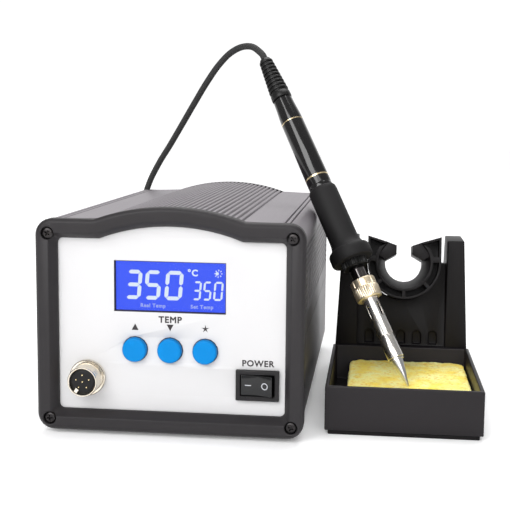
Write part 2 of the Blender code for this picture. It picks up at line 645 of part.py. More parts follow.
def make_rocker(unit):
    """Build the power switch: a housing with a well and the rocker that tips in it."""
    x, z = ROCKER_CENTRE
    front = PANEL_FRONT - GAP - ROCKER_FLANGE
    inner = (ROCKER_FRAME[0] - ROCKER_WALL, ROCKER_FRAME[1] - ROCKER_WALL)
    well = (ROCKER_FRAME[0] - 2 * ROCKER_WALL, ROCKER_FRAME[1] - 2 * ROCKER_WALL)
    back = front + ROCKER_BODY_DEPTH
    housing = centred_box("switch_housing", ROCKER_CENTRE, ROCKER_FRAME, front, PANEL_FRONT - GAP, BLACK,
                          unit)
    body = centred_box("switch_body_add", ROCKER_CENTRE, inner, front + ROCKER_FLANGE / 2, back, None, unit)
    hollow = centred_box("switch_well_cut", ROCKER_CENTRE, well, front - CUT_OVER, back - ROCKER_BODY_BACK,
                         None, unit)
    boolean(housing, "UNION", body)
    boolean(housing, "DIFFERENCE", hollow)
    reach = well[0] / 2 - ROCKER_END_GAP
    wing = ROCKER_APEX + math.tan(ROCKER_SWING) * reach
    tip = Matrix.Rotation(-ROCKER_SWING, 2)
    outline = [(-reach, -wing), (0.0, -ROCKER_APEX), (reach, -wing)]
    outline += arc(0.0, 0.0, ROCKER_KEEL, 20.0, 160.0, 8)
    outline = [tip @ Vector(point) for point in outline]
    half = well[1] / 2 - GAP
    rocker = outline_solid("power_rocker", [outline], -half, half, BLACK, unit)
    rocker.location = (x, front + ROCKER_PIVOT_DEPTH, z)
    rocker.rotation_euler = (-math.pi / 2, 0.0, 0.0)


def make_socket(unit):
    """Build the iron's front socket: threaded shell, pin carrier and the nut behind the panel."""
    place = (SOCKET_CENTRE[0], SOCKET_TIP, SOCKET_CENTRE[1])
    seat, rear = -SOCKET_PROUD, -(SOCKET_PROUD + SOCKET_BEHIND)
    flange = seat + GAP + SOCKET_FLANGE
    bore = SOCKET_RADIUS - SOCKET_WALL
    profile = [(SOCKET_RADIUS, 0.0), (SOCKET_RADIUS, flange), (SOCKET_FLANGE_RADIUS, flange)]
    profile += [(SOCKET_FLANGE_RADIUS, seat + GAP), (SOCKET_RADIUS, seat + GAP), (SOCKET_RADIUS, rear)]
    profile += [(bore, rear), (bore, 0.0)]
    turned("socket_shell", profile, NICKEL, unit, place, FACE_FRONT)
    step = PIN_CARRIER_STEP
    rod("socket_pin_carrier", bore - GAP, rear + step, -step, BLACK, unit, place, FACE_FRONT)
    nut_top = -(SOCKET_PROUD + PANEL_THICKNESS + GAP)
    tube("socket_nut", SOCKET_NUT_RADIUS, SOCKET_RADIUS + GAP, nut_top - SOCKET_NUT_HEIGHT, nut_top, NICKEL,
         unit, place, FACE_FRONT)


def make_rear(unit):
    """Build the mains inlet, the fuse holder with its cap and the earth socket."""
    flange_front = UNIT_DEPTH + GAP
    width, height, depth = INLET_FLANGE
    outside = flange_front + depth
    inlet = centred_box("mains_inlet", INLET_CENTRE, (width, height), flange_front, outside, BLACK, unit)
    body = (INLET_CAVITY[0] + 2 * INLET_WALL, INLET_CAVITY[1] + 2 * INLET_WALL)
    cup = centred_box("inlet_cup_add", INLET_CENTRE, body, flange_front - INLET_CAVITY[2],
                      flange_front + depth / 2, None, unit)
    hollow = centred_box("inlet_hollow_cut", INLET_CENTRE, INLET_CAVITY[:2], outside - INLET_CAVITY[2],
                         outside + CUT_OVER, None, unit)
    boolean(inlet, "UNION", cup)
    boolean(inlet, "DIFFERENCE", hollow)
    x, z = FUSE_CENTRE
    place = (x, UNIT_DEPTH, z)
    rim = INLET_FLANGE[2]
    bore = FUSE_RADIUS - FUSE_WALL
    profile = [(FUSE_RADIUS + FUSE_RIM, rim), (FUSE_RADIUS + FUSE_RIM, GAP), (FUSE_RADIUS, GAP)]
    profile += [(FUSE_RADIUS, -FUSE_BARREL), (0.0, -FUSE_BARREL), (0.0, -FUSE_BORE_END)]
    profile += [(bore, -FUSE_BORE_END), (bore, rim)]
    turned("fuse_holder", profile, BLACK, unit, place, FACE_BACK, ROUND_STEPS)
    knob = FUSE_RADIUS + FUSE_KNOB_RIM
    stem = bore - GAP
    top = rim + FUSE_CAP_LENGTH
    profile = [(0.0, top), (knob, top), (knob, rim + GAP), (stem, rim + GAP)]
    profile += [(stem, -FUSE_STEM_END), (0.0, -FUSE_STEM_END)]
    cap = turned("fuse_cap", profile, BLACK, unit, place, FACE_BACK, ROUND_STEPS)
    wide, deep, tall = FUSE_SLOT
    face = UNIT_DEPTH + top
    driver_slot = centred_box("fuse_slot_cut", FUSE_CENTRE, (wide, tall), face - deep, face + CUT_OVER,
                              None, unit)
    boolean(cap, "DIFFERENCE", driver_slot)
    place = (GROUND_CENTRE[0], UNIT_DEPTH, GROUND_CENTRE[1])
    profile = [(GROUND_RADIUS, GROUND_PROUD), (GROUND_RADIUS, GAP), (GROUND_NECK, GAP)]
    profile += [(GROUND_NECK, -GROUND_END)]
    profile += [(0.0, -GROUND_END), (0.0, -GROUND_BORE_END), (GROUND_BORE, -GROUND_BORE_END)]
    profile += [(GROUND_BORE, GROUND_PROUD)]
    turned("earth_socket", profile, BRASS, unit, place, FACE_BACK, ROUND_STEPS)


def make_works(unit):
    """Build the transformer, the main board with its parts and the heatsink."""
    x, y = CORE_CENTRE
    width, depth, height = CORE_SIZE
    floor = CASE_FLOOR + GAP
    core = box("transformer_core", (x - width / 2, y - depth / 2, floor),
               (x + width / 2, y + depth / 2, floor + height), IRON_GREY, unit)
    wide, long, tall = COIL_SIZE
    middle = floor + height / 2
    opening = box("coil_opening_cut", (x - wide / 2 - GAP, y - depth, middle - tall / 2 - GAP),
                  (x + wide / 2 + GAP, y + depth, middle + tall / 2 + GAP), None, unit)
    boolean(core, "DIFFERENCE", opening)
    box("transformer_winding", (x - wide / 2, y - long / 2, middle - tall / 2),
        (x + wide / 2, y + long / 2, middle + tall / 2), COPPER, unit)
    x, y = BOARD_CENTRE
    width, depth, thickness = BOARD_SIZE
    board_top = BOARD_HEIGHT + thickness
    box("main_board", (x - width / 2, y - depth / 2, BOARD_HEIGHT), (x + width / 2, y + depth / 2, board_top),
        GREEN, unit)
    wide, long, tall = HEATSINK_SIZE
    low = board_top + GAP
    right = x + width / 2
    box("heatsink", (right - wide, y - long / 2, low), (right, y + long / 2, low + tall), ALUMINIUM, unit)
    place = (x - CAPACITOR_SHIFT, y - depth / 4, 0.0)
    rod("main_capacitor", CAPACITOR_RADIUS, low, low + CAPACITOR_HEIGHT, BLACK, unit, place,
        steps=ROUND_STEPS)


# ---- stand ---------------------------------------------------------------------------------------
def make_stand(stand):
    """Build the base plate, the tray, the tower with its two pillars and the sponge."""
    left, right = STAND_CENTRE_X - STAND_HALF, STAND_CENTRE_X + STAND_HALF
    box("stand_base_plate", (left + BASE_INSET, STAND_FRONT + BASE_INSET, 0.0),
        (right - BASE_INSET, TOWER_BACK - BASE_INSET, BASE_HEIGHT), STEEL_BLACK, stand)
    tray = box("sponge_tray", (left, STAND_FRONT, TOWER_FOOT), (right, TRAY_BACK, TRAY_RIM), BLACK_SATIN,
               stand)
    hollow = box("tray_hollow_cut", (left + TRAY_WALL, STAND_FRONT + TRAY_WALL, TRAY_FLOOR),
                 (right - TRAY_WALL, TRAY_BACK - TRAY_WALL, TRAY_RIM + TRAY_WALL), None, stand)
    boolean(tray, "DIFFERENCE", hollow)
    width, depth, height = SPONGE_SIZE
    x, y = STAND_CENTRE_X + SPONGE_SHIFT, STAND_FRONT + TRAY_DEPTH / 2
    sponge = box("sponge", (x - width / 2, y - depth / 2, TRAY_FLOOR + GAP),
                 (x + width / 2, y + depth / 2, TRAY_FLOOR + GAP + height), YELLOW, stand)
    upright = sponge.modifiers.new("corners", "BEVEL")
    upright.width = SPONGE_CORNER
    upright.segments = 3
    upright.affect = "EDGES"
    upright.limit_method = "WEIGHT"
    weights = sponge.data.attributes.new("bevel_weight_edge", "FLOAT", "EDGE")
    for edge in sponge.data.edges:
        first, second = (sponge.data.vertices[index].co for index in edge.vertices)
        weights.data[edge.index].value = 1.0 if abs(first.z - second.z) > height / 2 else 0.0


def pillar_block(name, low, high, finish, stand):
    """Return a tower block between two x values whose back slopes in towards the top."""
    made = box(name, (low, TOWER_FRONT, TOWER_FOOT), (high, TOWER_BACK, TOWER_TOP), finish, stand)
    for vertex in made.data.vertices:
        if vertex.co.z > 0 and vertex.co.y > 0:
            vertex.co.y -= TOWER_DEPTH - TOWER_TOP_DEPTH
    return made


def make_tower(stand):
    """Build the tower: two tapered pillars, the leaning wall between them and its row of tip niches."""
    left, right = STAND_CENTRE_X - STAND_HALF, STAND_CENTRE_X + STAND_HALF
    tower = pillar_block("stand_tower", left, right, BLACK_SATIN, stand)
    for vertex in tower.data.vertices:
        if vertex.co.z > 0:
            vertex.co.x -= math.copysign(PILLAR_TAPER, vertex.co.x)
    between_left, between_right = left + PILLAR_FOOT, right - PILLAR_FOOT
    over = RECESS_DEPTH
    recess = box("tower_recess_cut", (between_left, TOWER_FRONT - over, TRAY_RIM),
                 (between_right, TOWER_FRONT + over, TOWER_TOP + over), None, stand)
    for vertex in recess.data.vertices:
        if vertex.co.y > 0 and vertex.co.z > 0:
            vertex.co.y += WALL_LEAN
    wall_back = TOWER_FRONT + over + WALL_THICKNESS
    behind = box("tower_back_cut", (between_left, wall_back, TOWER_FOOT + WALL_THICKNESS),
                 (between_right, TOWER_BACK + over, TOWER_TOP + over), None, stand)
    for vertex in behind.data.vertices:
        if vertex.co.y < 0 and vertex.co.z > 0:
            vertex.co.y += WALL_LEAN
    crown = box("tower_top_cut", (between_left, TOWER_FRONT - over, WALL_TOP),
                (between_right, TOWER_BACK, TOWER_TOP + over), None, stand)
    cradle = rod("tower_cradle_cut", HOLDER_RADIUS + GAP, -HOLDER_LENGTH, HOLDER_LENGTH, None, stand,
                 HOLDER_CENTRE, HOLDER_TURN)
    boolean(tower, "DIFFERENCE", recess, behind, crown, cradle)
    for number in range(TIP_NICHES):
        x = STAND_CENTRE_X + (number - (TIP_NICHES - 1) / 2) * NICHE_PITCH
        arch = arc(x, TRAY_RIM + NICHE_HEIGHT - NICHE_RADIUS, NICHE_RADIUS, 0.0, 180.0, 6)
        foot = TRAY_RIM + NICHE_FOOT
        outline = arch + [(x - NICHE_RADIUS, foot), (x + NICHE_RADIUS, foot)]
        deep = TOWER_FRONT + over + NICHE_DEPTH
        niche = outline_solid(f"tip_niche_cut_{number}", [outline], TOWER_FRONT, deep, None, stand)
        boolean(tower, "DIFFERENCE", niche)


def make_holder(stand):
    """Build the C-shaped funnel that the iron is put back into."""
    carrier = empty("holder_axis", stand, HOLDER_CENTRE, (-HOLDER_TILT, 0.0, 0.0))
    outline = arc(0.0, 0.0, HOLDER_RADIUS, 180.0, 360.0, 18)
    outline += [(HOLDER_RADIUS, HOLDER_HORN), (HOLDER_SLOT / 2, HOLDER_SLOT_FOOT)]
    outline += [(-HOLDER_SLOT / 2, HOLDER_SLOT_FOOT), (-HOLDER_RADIUS, HOLDER_HORN)]
    holder = outline_solid("iron_holder", [outline], 0.0, HOLDER_LENGTH, BLACK_SATIN, carrier)
    flare = HOLDER_LENGTH / 2
    end = HOLDER_LENGTH + CUT_OVER
    profile = [(0.0, CUT_OVER), (HOLDER_BORE_FRONT, CUT_OVER), (HOLDER_BORE_FRONT, 0.0)]
    profile += [(HOLDER_BORE_REAR, -flare), (HOLDER_BORE_REAR, -end), (0.0, -end)]
    bore = turned("holder_bore_cut", profile, None, carrier, rotation=FACE_FRONT)
    slot = box("holder_slot_cut", (-HOLDER_SLOT / 2, -CUT_OVER, 0.0), (HOLDER_SLOT / 2, end, HOLDER_RADIUS),
               None, carrier)
    boolean(holder, "DIFFERENCE", bore, slot)


# ---- iron ----------------------------------------------------------------------------------------
def make_tip(iron):
    """Build the tip, the slotted sleeve round it, the heater and the nut that holds them."""
    flange = SLEEVE_END - SLEEVE_FLANGE
    inner = SLEEVE_RADIUS - SLEEVE_WALL
    shank = inner - GAP
    bore = HEATER_RADIUS + GAP
    profile = [(bore, flange), (shank, flange), (shank, TIP_CONE + TIP_SHOULDER), (TIP_RADIUS, TIP_CONE)]
    profile += [(TIP_END_RADIUS, TIP_END_RADIUS), (0.0, 0.0), (0.0, TIP_BORE_START), (bore, TIP_BORE_START)]
    turned("soldering_tip", profile, CHROME, iron)
    rod("heater_core", HEATER_RADIUS, TIP_BORE_START + GAP, HEATER_END, CERAMIC, iron, steps=HEATER_STEPS)
    mouth = TIP_CONE + SLEEVE_STAND_OFF
    profile = [(SLEEVE_FLANGE_RADIUS, SLEEVE_END), (SLEEVE_FLANGE_RADIUS, flange), (SLEEVE_RADIUS, flange)]
    profile += [(SLEEVE_RADIUS, mouth), (inner, mouth), (inner, SLEEVE_END)]
    sleeve = turned("tip_sleeve", profile, CHROME, iron)
    width, low, high = SLEEVE_SLOT
    for name, side in (("sleeve_slot_cut", -1), ("sleeve_twin_slot_cut", 1)):
        near, far = sorted((side * (SLEEVE_RADIUS - 2 * SLEEVE_WALL), side * (SLEEVE_RADIUS + GAP)))
        slot = box(name, (near, -width / 2, low), (far, width / 2, high), None, iron)
        boolean(sleeve, "DIFFERENCE", slot)
    lip = NUT_START + NUT_LIP
    hole = SLEEVE_RADIUS + GAP
    profile = [(NUT_RADIUS, NUT_END), (NUT_RADIUS, NUT_START + NUT_EDGE), (NUT_RADIUS - NUT_EDGE, NUT_START)]
    profile += [(hole, NUT_START), (hole, lip), (NUT_BORE, lip), (NUT_BORE, NUT_END)]
    turned("tip_nut", profile, GOLD, iron)
    tube("nut_washer", NUT_BORE - GAP, hole, lip + GAP, lip + GAP + WASHER_THICKNESS, NICKEL, iron)


def make_handle(iron):
    """Build the collar, the toothed crown, the grip with its flange, the barrel and the cord boot."""
    bore = HEATER_RADIUS + GAP
    thread = SLEEVE_END + GAP
    profile = [(COLLAR_RADIUS, COLLAR_END), (COLLAR_RADIUS, COLLAR_THREAD_END)]
    profile += [(COLLAR_THREAD_RADIUS, COLLAR_THREAD_END), (COLLAR_THREAD_RADIUS, thread), (bore, thread)]
    profile += [(bore, COLLAR_END)]
    turned("handle_collar", profile, BLACK_CHROME, iron)
    crown_low = COLLAR_END + GAP
    tube("handle_crown", CROWN_RADIUS, bore, crown_low, CROWN_END, BLACK, iron)
    inner = CROWN_RADIUS + GAP
    edge, step, slope = GRIP_FLANGE_EDGES
    profile = [(GRIP_RADIUS, GRIP_END), (GRIP_RADIUS, GRIP_FLANGE_END + slope)]
    profile += [(GRIP_FLANGE_RADIUS - step, GRIP_FLANGE_END), (GRIP_FLANGE_RADIUS, GRIP_FLANGE_END - slope)]
    profile += [(GRIP_FLANGE_RADIUS, GRIP_FLANGE_START + edge)]
    profile += [(GRIP_FLANGE_RADIUS - edge, GRIP_FLANGE_START)]
    profile += [(inner, GRIP_FLANGE_START), (inner, CROWN_END + GAP), (BARREL_RADIUS + GAP, CROWN_END + GAP)]
    profile += [(BARREL_RADIUS + GAP, GRIP_END)]
    turned("grip_sleeve", profile, RUBBER, iron)
    foot = CROWN_END + 2 * GAP
    profile = [(0.0, BARREL_END), (BARREL_RADIUS - BARREL_TAPER, BARREL_END), (BARREL_RADIUS, GRIP_END)]
    profile += [(BARREL_RADIUS, foot), (bore, foot), (bore, BARREL_BORE_END), (0.0, BARREL_BORE_END)]
    turned("handle_barrel", profile, GLOSS_BLACK, iron)
    wide, narrow = BOOT_RADII
    start = BARREL_END + GAP
    pitch = (BOOT_END - start) / BOOT_RIBS
    profile = [(0.0, BOOT_END)]
    for rib in reversed(range(BOOT_RIBS)):
        low = start + rib * pitch
        radius = wide + (narrow - wide) * rib / (BOOT_RIBS - 1)
        root = low + BOOT_RIB_SHARE * pitch
        profile += [(radius, low + pitch), (radius, root)]
        if rib:
            profile += [(radius - BOOT_RIB_DEPTH, root), (radius - BOOT_RIB_DEPTH, low)]
    profile += [(wide, start), (0.0, start)]
    turned("cord_boot", profile, RUBBER, iron, steps=SCREW_STEPS)


# ---- cord ----------------------------------------------------------------------------------------
def fitted_route(route, first, last):
    """Return a route given in millimetres with its ends moved to two places, and the rest in proportion."""
    points = [Vector(point) * MM for point in route]
    first_move, last_move = first - points[0], last - points[-1]
    shares = [min(1.0, number / CORD_HANGS_FROM) for number in range(len(points))]
    return [point + first_move.lerp(last_move, share) for point, share in zip(points, shares)]


def smooth_route(points, per_span):
    """Return points on a Catmull-Rom curve through the points of a route."""
    points = [2 * points[0] - points[1]] + points + [2 * points[-1] - points[-2]]
    found = []
    for before, first, second, after in zip(points, points[1:], points[2:], points[3:]):
        for step in range(per_span):
            t = step / per_span
            found.append(0.5 * (2 * first + (second - before) * t
                                + (2 * before - 5 * first + 4 * second - after) * t**2
                                + (3 * first - 3 * second + after - before) * t**3))
    return found + [points[-2]]


def cord_tube(name, points, parent):
    """Return a round cord along the points."""
    curve = bpy.data.curves.new(name, "CURVE")
    curve.dimensions = "3D"
    curve.bevel_depth = CORD_RADIUS
    curve.bevel_resolution = 2
    curve.use_fill_caps = True
    spline = curve.splines.new("POLY")
    spline.points.add(len(points) - 1)
    for point, place in zip(spline.points, points):
        point.co = (*place, 1.0)
    return add_object(name, curve, RUBBER, parent)


def make_cord(station):
    """Build the cord from the boot to its storage coil, the coil, the lead and the plug with its ring."""
    start = TIP_POINT + IRON_AXIS * (BOOT_END + GAP)
    route = fitted_route(CORD_ROUTE, start + CORD_LEAD_IN, COIL_CENTRE + COIL_ENTRY)
    cord_tube("iron_cord", [start] + smooth_route(route, 2), station)
    inner, outer = COIL_MIDDLE_RADIUS - COIL_BAND, COIL_MIDDLE_RADIUS + COIL_BAND
    tube("cord_coil", outer, inner, CORD_LIFT, COIL_HEIGHT + CORD_LIFT, RUBBER, station, COIL_CENTRE)
    lead = [COIL_CENTRE + Vector(point) * MM for point in LEAD_ROUTE]
    cord_tube("cord_lead", smooth_route(lead, 2), station)
    core = PLUG_RADIUS - PLUG_SHELL_STEP
    shell_end = PLUG_RING_START - GAP
    body = [(0.0, PLUG_LENGTH), (core, PLUG_LENGTH), (core, shell_end), (PLUG_RADIUS, shell_end)]
    body += [(PLUG_RADIUS, PLUG_SHELL_START), (PLUG_TAIL_RADIUS, GAP), (0.0, GAP)]
    turned("plug_body", body, NICKEL, station, PLUG_TAIL, ALONG_X)
    ring_end = PLUG_RING_START + PLUG_RING_LENGTH
    tube("plug_ring", PLUG_RING_RADIUS, core + GAP, PLUG_RING_START, ring_end, NICKEL, station, PLUG_TAIL,
         ALONG_X)


# ---- build ---------------------------------------------------------------------------------------
clear_scene()
PARTS = collection("soldering_station")
CUTTERS = collection("cutters")

FACE_FRONT = (math.pi / 2, 0.0, 0.0)  # turns a piece's own +Z to look at the front, -Y
FACE_BACK = (-math.pi / 2, 0.0, 0.0)  # turns a piece's own +Z to look at the back, +Y
ALONG_X = (0.0, math.pi / 2, 0.0)
HOLDER_TURN = (math.pi / 2 - HOLDER_TILT, 0.0, 0.0)
IRON_AXIS = Vector((math.cos(IRON_HEADING), math.sin(IRON_HEADING), 0.0)) * math.sin(IRON_LEAN)
IRON_AXIS.z = math.cos(IRON_LEAN)
BOARD_FACE = PANEL_BACK + GAP + DISPLAY_MODULE_SIZE[2] + GAP
PLUG_RING_START = PLUG_LENGTH - PLUG_NOSE - PLUG_RING_LENGTH

ALUMINIUM = material("anodised_aluminium", (0.36, 0.33, 0.36), 0.45, 0.8)
CHARCOAL = material("charcoal_plastic", (0.06, 0.055, 0.06), 0.5)
OFF_WHITE = material("off_white_panel", (0.82, 0.81, 0.8), 0.4)
STEEL_BLACK = material("blackened_steel", (0.03, 0.03, 0.03), 0.4, 0.6)
BLACK = material("black_plastic", (0.02, 0.02, 0.02), 0.4)
BLACK_SATIN = material("black_satin_plastic", (0.03, 0.028, 0.03), 0.35)
GLOSS_BLACK = material("gloss_black_plastic", (0.01, 0.01, 0.01), 0.15)
RUBBER = material("black_rubber", (0.03, 0.03, 0.03), 0.7)
BLUE = material("blue_plastic", (0.01, 0.3, 0.75), 0.35)
BLUE_GLOW = material("blue_backlight", (0.06, 0.1, 0.85), 0.3)
LENS = material("clear_lens", (0.1, 0.15, 0.9), 0.05)
GREEN = material("circuit_board", (0.02, 0.2, 0.06), 0.5)
YELLOW = material("yellow_sponge", (0.9, 0.7, 0.1), 0.95)
CHROME = material("chrome", (0.8, 0.78, 0.75), 0.1, 1.0)
BLACK_CHROME = material("black_chrome", (0.08, 0.08, 0.08), 0.2, 1.0)
GOLD = material("pale_gold", (0.78, 0.68, 0.48), 0.35, 1.0)
NICKEL = material("nickel", (0.7, 0.66, 0.58), 0.25, 1.0)
BRASS = material("brass", (0.7, 0.55, 0.25), 0.3, 1.0)
COPPER = material("copper_winding", (0.55, 0.25, 0.12), 0.4, 0.8)
IRON_GREY = material("laminated_iron", (0.2, 0.2, 0.21), 0.5, 0.9)
CERAMIC = material("ceramic", (0.8, 0.78, 0.72), 0.6)

STATION = empty("station", None, (-CENTRE_X, -CENTRE_Y, 0.0))
UNIT = empty("power_unit", STATION, (0.0, 0.0, 0.0))
STAND = empty("stand", STATION, (0.0, 0.0, 0.0))
IRON = empty("iron", STATION, TIP_POINT, (0.0, IRON_LEAN, IRON_HEADING))

make_case(UNIT)
make_front(UNIT)
make_screws(UNIT)
make_display(UNIT)
make_buttons(UNIT)
make_rocker(UNIT)
make_socket(UNIT)
make_rear(UNIT)
make_works(UNIT)
make_stand(STAND)
make_tower(STAND)
make_holder(STAND)
make_tip(IRON)
make_handle(IRON)
make_cord(STATION)
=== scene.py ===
"""Looks of a bench soldering station: finned power unit, iron on its cord, and a stand with a sponge tray.

Sizes are in millimetres in the bench coordinates of the CAD part: X to the right along the unit's front,
Y back from the front frame's face, Z up from the table. ORIGIN moves them to the row frame.
"""

import logging
import math
from dataclasses import dataclass, field
from enum import Enum
from typing import Any, Callable, Sequence

import bmesh
import bpy
from mathutils import Euler, Matrix, Vector

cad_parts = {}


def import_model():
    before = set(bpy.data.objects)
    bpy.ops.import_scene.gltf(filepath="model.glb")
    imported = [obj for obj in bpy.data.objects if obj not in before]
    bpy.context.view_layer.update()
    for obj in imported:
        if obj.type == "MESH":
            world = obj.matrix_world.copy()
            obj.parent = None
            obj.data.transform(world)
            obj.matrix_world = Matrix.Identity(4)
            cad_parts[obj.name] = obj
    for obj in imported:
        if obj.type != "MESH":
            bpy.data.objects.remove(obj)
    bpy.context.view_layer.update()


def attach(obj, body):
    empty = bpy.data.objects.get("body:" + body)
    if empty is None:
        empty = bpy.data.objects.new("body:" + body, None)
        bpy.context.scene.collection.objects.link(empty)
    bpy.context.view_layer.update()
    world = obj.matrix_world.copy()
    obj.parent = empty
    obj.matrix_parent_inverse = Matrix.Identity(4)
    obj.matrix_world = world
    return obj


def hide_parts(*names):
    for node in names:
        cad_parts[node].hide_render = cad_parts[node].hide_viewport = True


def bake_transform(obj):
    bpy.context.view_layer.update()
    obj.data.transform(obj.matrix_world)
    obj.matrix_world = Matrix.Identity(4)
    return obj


LOG = logging.getLogger("station")
MM = 0.001
TO_DECIMETRES = 10.0
ORIGIN = Vector((-43.175, -99.15, 0.0))

Colour = tuple[float, float, float]
Point = Sequence[float]
Loop = list[Vector]


class Body(Enum):
    """The CAD bodies that pieces ride on."""

    BASE = "base"
    IRON = "iron"
    NUT = "nut"
    UP = "up_button"
    DOWN = "down_button"
    SET = "set_button"
    ROCKER = "rocker"
    FUSE = "fuse_knob"
    PLUG_RING = "plug_collar"


class Ends(Enum):
    """How a lofted shell is closed."""

    CAPPED = "capped"
    RING = "ring"


def bench(x: float, y: float, z: float) -> Vector:
    """Return a bench point, in millimetres, as a point of the row frame in metres."""
    return (Vector((x, y, z)) + ORIGIN) * MM


def placed(x: float, y: float, z: float, turn: Euler | None = None) -> Matrix:
    """Return the matrix that takes a piece's own millimetres to a bench point, turned about itself."""
    rotation = (turn or Euler()).to_matrix().to_4x4()
    return Matrix.Translation(bench(x, y, z)) @ rotation @ Matrix.Scale(MM, 4)


HERE = placed(0.0, 0.0, 0.0)
IRON_LEAN = math.radians(35.5)
IRON_HEADING = math.radians(135.4)
TO_FRONT = Euler((math.pi / 2, 0.0, 0.0))
TO_BACK = Euler((-math.pi / 2, 0.0, 0.0))
ALONG_X = Euler((0.0, math.pi / 2, 0.0))


# ---- shader maths -----------------------------------------------------------------------------------
class Value:
    """A shader socket that adds the nodes of an expression it is used in."""

    def __init__(self, graph: "Graph", socket: bpy.types.NodeSocket) -> None:
        """Wrap one output socket of a graph."""
        self.graph = graph
        self.socket = socket

    def maths(self, operation: str, other: Any = 0.0, swapped: bool = False) -> "Value":
        """Return the result of one Math node.

        Args:
            operation: the Math node's operation.
            other: the second number or value.
            swapped: whether the other one comes first.

        Returns:
            The new node's output.
        """
        pair = (other, self) if swapped else (self, other)
        return self.graph.node("ShaderNodeMath", {"operation": operation}, {0: pair[0], 1: pair[1]})

    def __add__(self, other: Any) -> "Value":
        """Add."""
        return self.maths("ADD", other)

    def __sub__(self, other: Any) -> "Value":
        """Subtract."""
        return self.maths("SUBTRACT", other)

    def __rsub__(self, other: Any) -> "Value":
        """Subtract from a number."""
        return self.maths("SUBTRACT", other, True)

    def __mul__(self, other: Any) -> "Value":
        """Multiply."""
        return self.maths("MULTIPLY", other)

    __radd__ = __add__
    __rmul__ = __mul__

    def ramp(self, *stops: tuple[float, float]) -> "Value":
        """Return this value through a grey ramp of (position, level) stops."""
        colours = [(place, (level, level, level)) for place, level in stops]
        return self.graph.node("ShaderNodeValToRGB", {"stops": colours}, {0: self})


class Graph:
    """The node tree of one material."""

    def __init__(self, name: str) -> None:
        """Start a material with its Principled shader."""
        self.material = bpy.data.materials.new(name)
        self.material.use_nodes = True
        self.tree = self.material.node_tree
        self.shader = self.tree.nodes["Principled BSDF"]
        self.place = self.node("ShaderNodeTexCoord", {}, {}, "Object")

    def node(self, kind: str, settings: dict[str, Any], inputs: dict[Any, Any], output: Any = 0) -> Value:
        """Make one node.

        Args:
            kind: the node's type name.
            settings: attributes set before the sockets, with "stops" for a ramp's (position, colour) pairs.
            inputs: a number, colour or Value for each input socket, by name or index.
            output: the output socket's name or index.

        Returns:
            The chosen output.
        """
        made = self.tree.nodes.new(kind)
        for key, setting in settings.items():
            if key == "stops":
                stops = made.color_ramp.elements
                while len(stops) < len(setting):
                    stops.new(0.5)
                for stop, (place, colour) in zip(stops, setting):
                    stop.position = place
                    stop.color = (*colour, 1.0)
            else:
                setattr(made, key, setting)
        for key, given in inputs.items():
            self.feed(made.inputs[key], given)
        return Value(self, made.outputs[output])

    def feed(self, socket: bpy.types.NodeSocket, given: Any) -> None:
        """Link a Value to a socket, or set the socket's own number or colour."""
        if isinstance(given, Value):
            self.tree.links.new(given.socket, socket)
        elif isinstance(given, tuple) and len(given) == 3 and len(socket.default_value) == 4:
            socket.default_value = (*given, 1.0)
        else:
            socket.default_value = given

    def noise(self, size: float, detail: float = 2.0, stretch: Point = (1, 1, 1),
              turn: Point = (0, 0, 0)) -> Value:
        """Return fractal noise.

        Args:
            size: the size of its blotches in millimetres.
            detail: the number of finer octaves.
            stretch: how much finer it is along each axis.
            turn: the rotation, in radians, that lines the axes up with the piece.

        Returns:
            The noise, from 0 to 1.
        """
        lined_up = self.node("ShaderNodeMapping", {}, {"Vector": self.place, "Rotation": tuple(turn)})
        stretched = self.node("ShaderNodeMapping", {}, {"Vector": lined_up, "Scale": tuple(stretch)})
        inputs = {"Vector": stretched, "Scale": 1.0 / (size * MM), "Detail": detail}
        return self.node("ShaderNodeTexNoise", {}, inputs)

    def cells(self, size: float) -> Value:
        """Return the distance to the nearest of randomly spread points, of a size in millimetres."""
        inputs = {"Vector": self.place, "Scale": 1.0 / (size * MM)}
        return self.node("ShaderNodeTexVoronoi", {}, inputs, "Distance")

    def mix(self, first: Any, second: Any, share: Any) -> Value:
        """Return a colour between two, by a share from 0 to 1."""
        return self.node("ShaderNodeMix", {"data_type": "RGBA"}, {0: share, 6: first, 7: second}, 2)

    def bump(self, height: Value, depth: float, under: Value | None = None) -> Value:
        """Return a normal for a height from 0 to 1 that stands for a depth in millimetres."""
        inputs: dict[Any, Any] = {"Height": height, "Distance": depth * MM, "Strength": 1.0}
        if under is not None:
            inputs["Normal"] = under
        return self.node("ShaderNodeBump", {}, inputs)

    def dress(self, **inputs: Any) -> None:
        """Feed the Principled shader, with underscores for the spaces of its socket names."""
        for name, given in inputs.items():
            self.feed(self.shader.inputs[name.replace("_", " ")], given)


def scaled(colour: Colour, factor: float) -> Colour:
    """Return a colour made lighter or darker."""
    red, green, blue = (min(1.0, part * factor) for part in colour)
    return (red, green, blue)


# ---- finishes ---------------------------------------------------------------------------------------
@dataclass(frozen=True)
class Finish:
    """A surface. Each kind draws its own nodes once, and pieces share the material."""

    name: str
    slot: str | None
    colour: Colour

    def draw(self, graph: Graph) -> None:
        """Draw the nodes of this surface."""
        raise NotImplementedError

    def material(self) -> bpy.types.Material:
        """Return this finish's material, drawn the first time it is asked for."""
        found = bpy.data.materials.get(self.name)
        if found is None:
            graph = Graph(self.name)
            self.draw(graph)
            found = graph.material
        return found


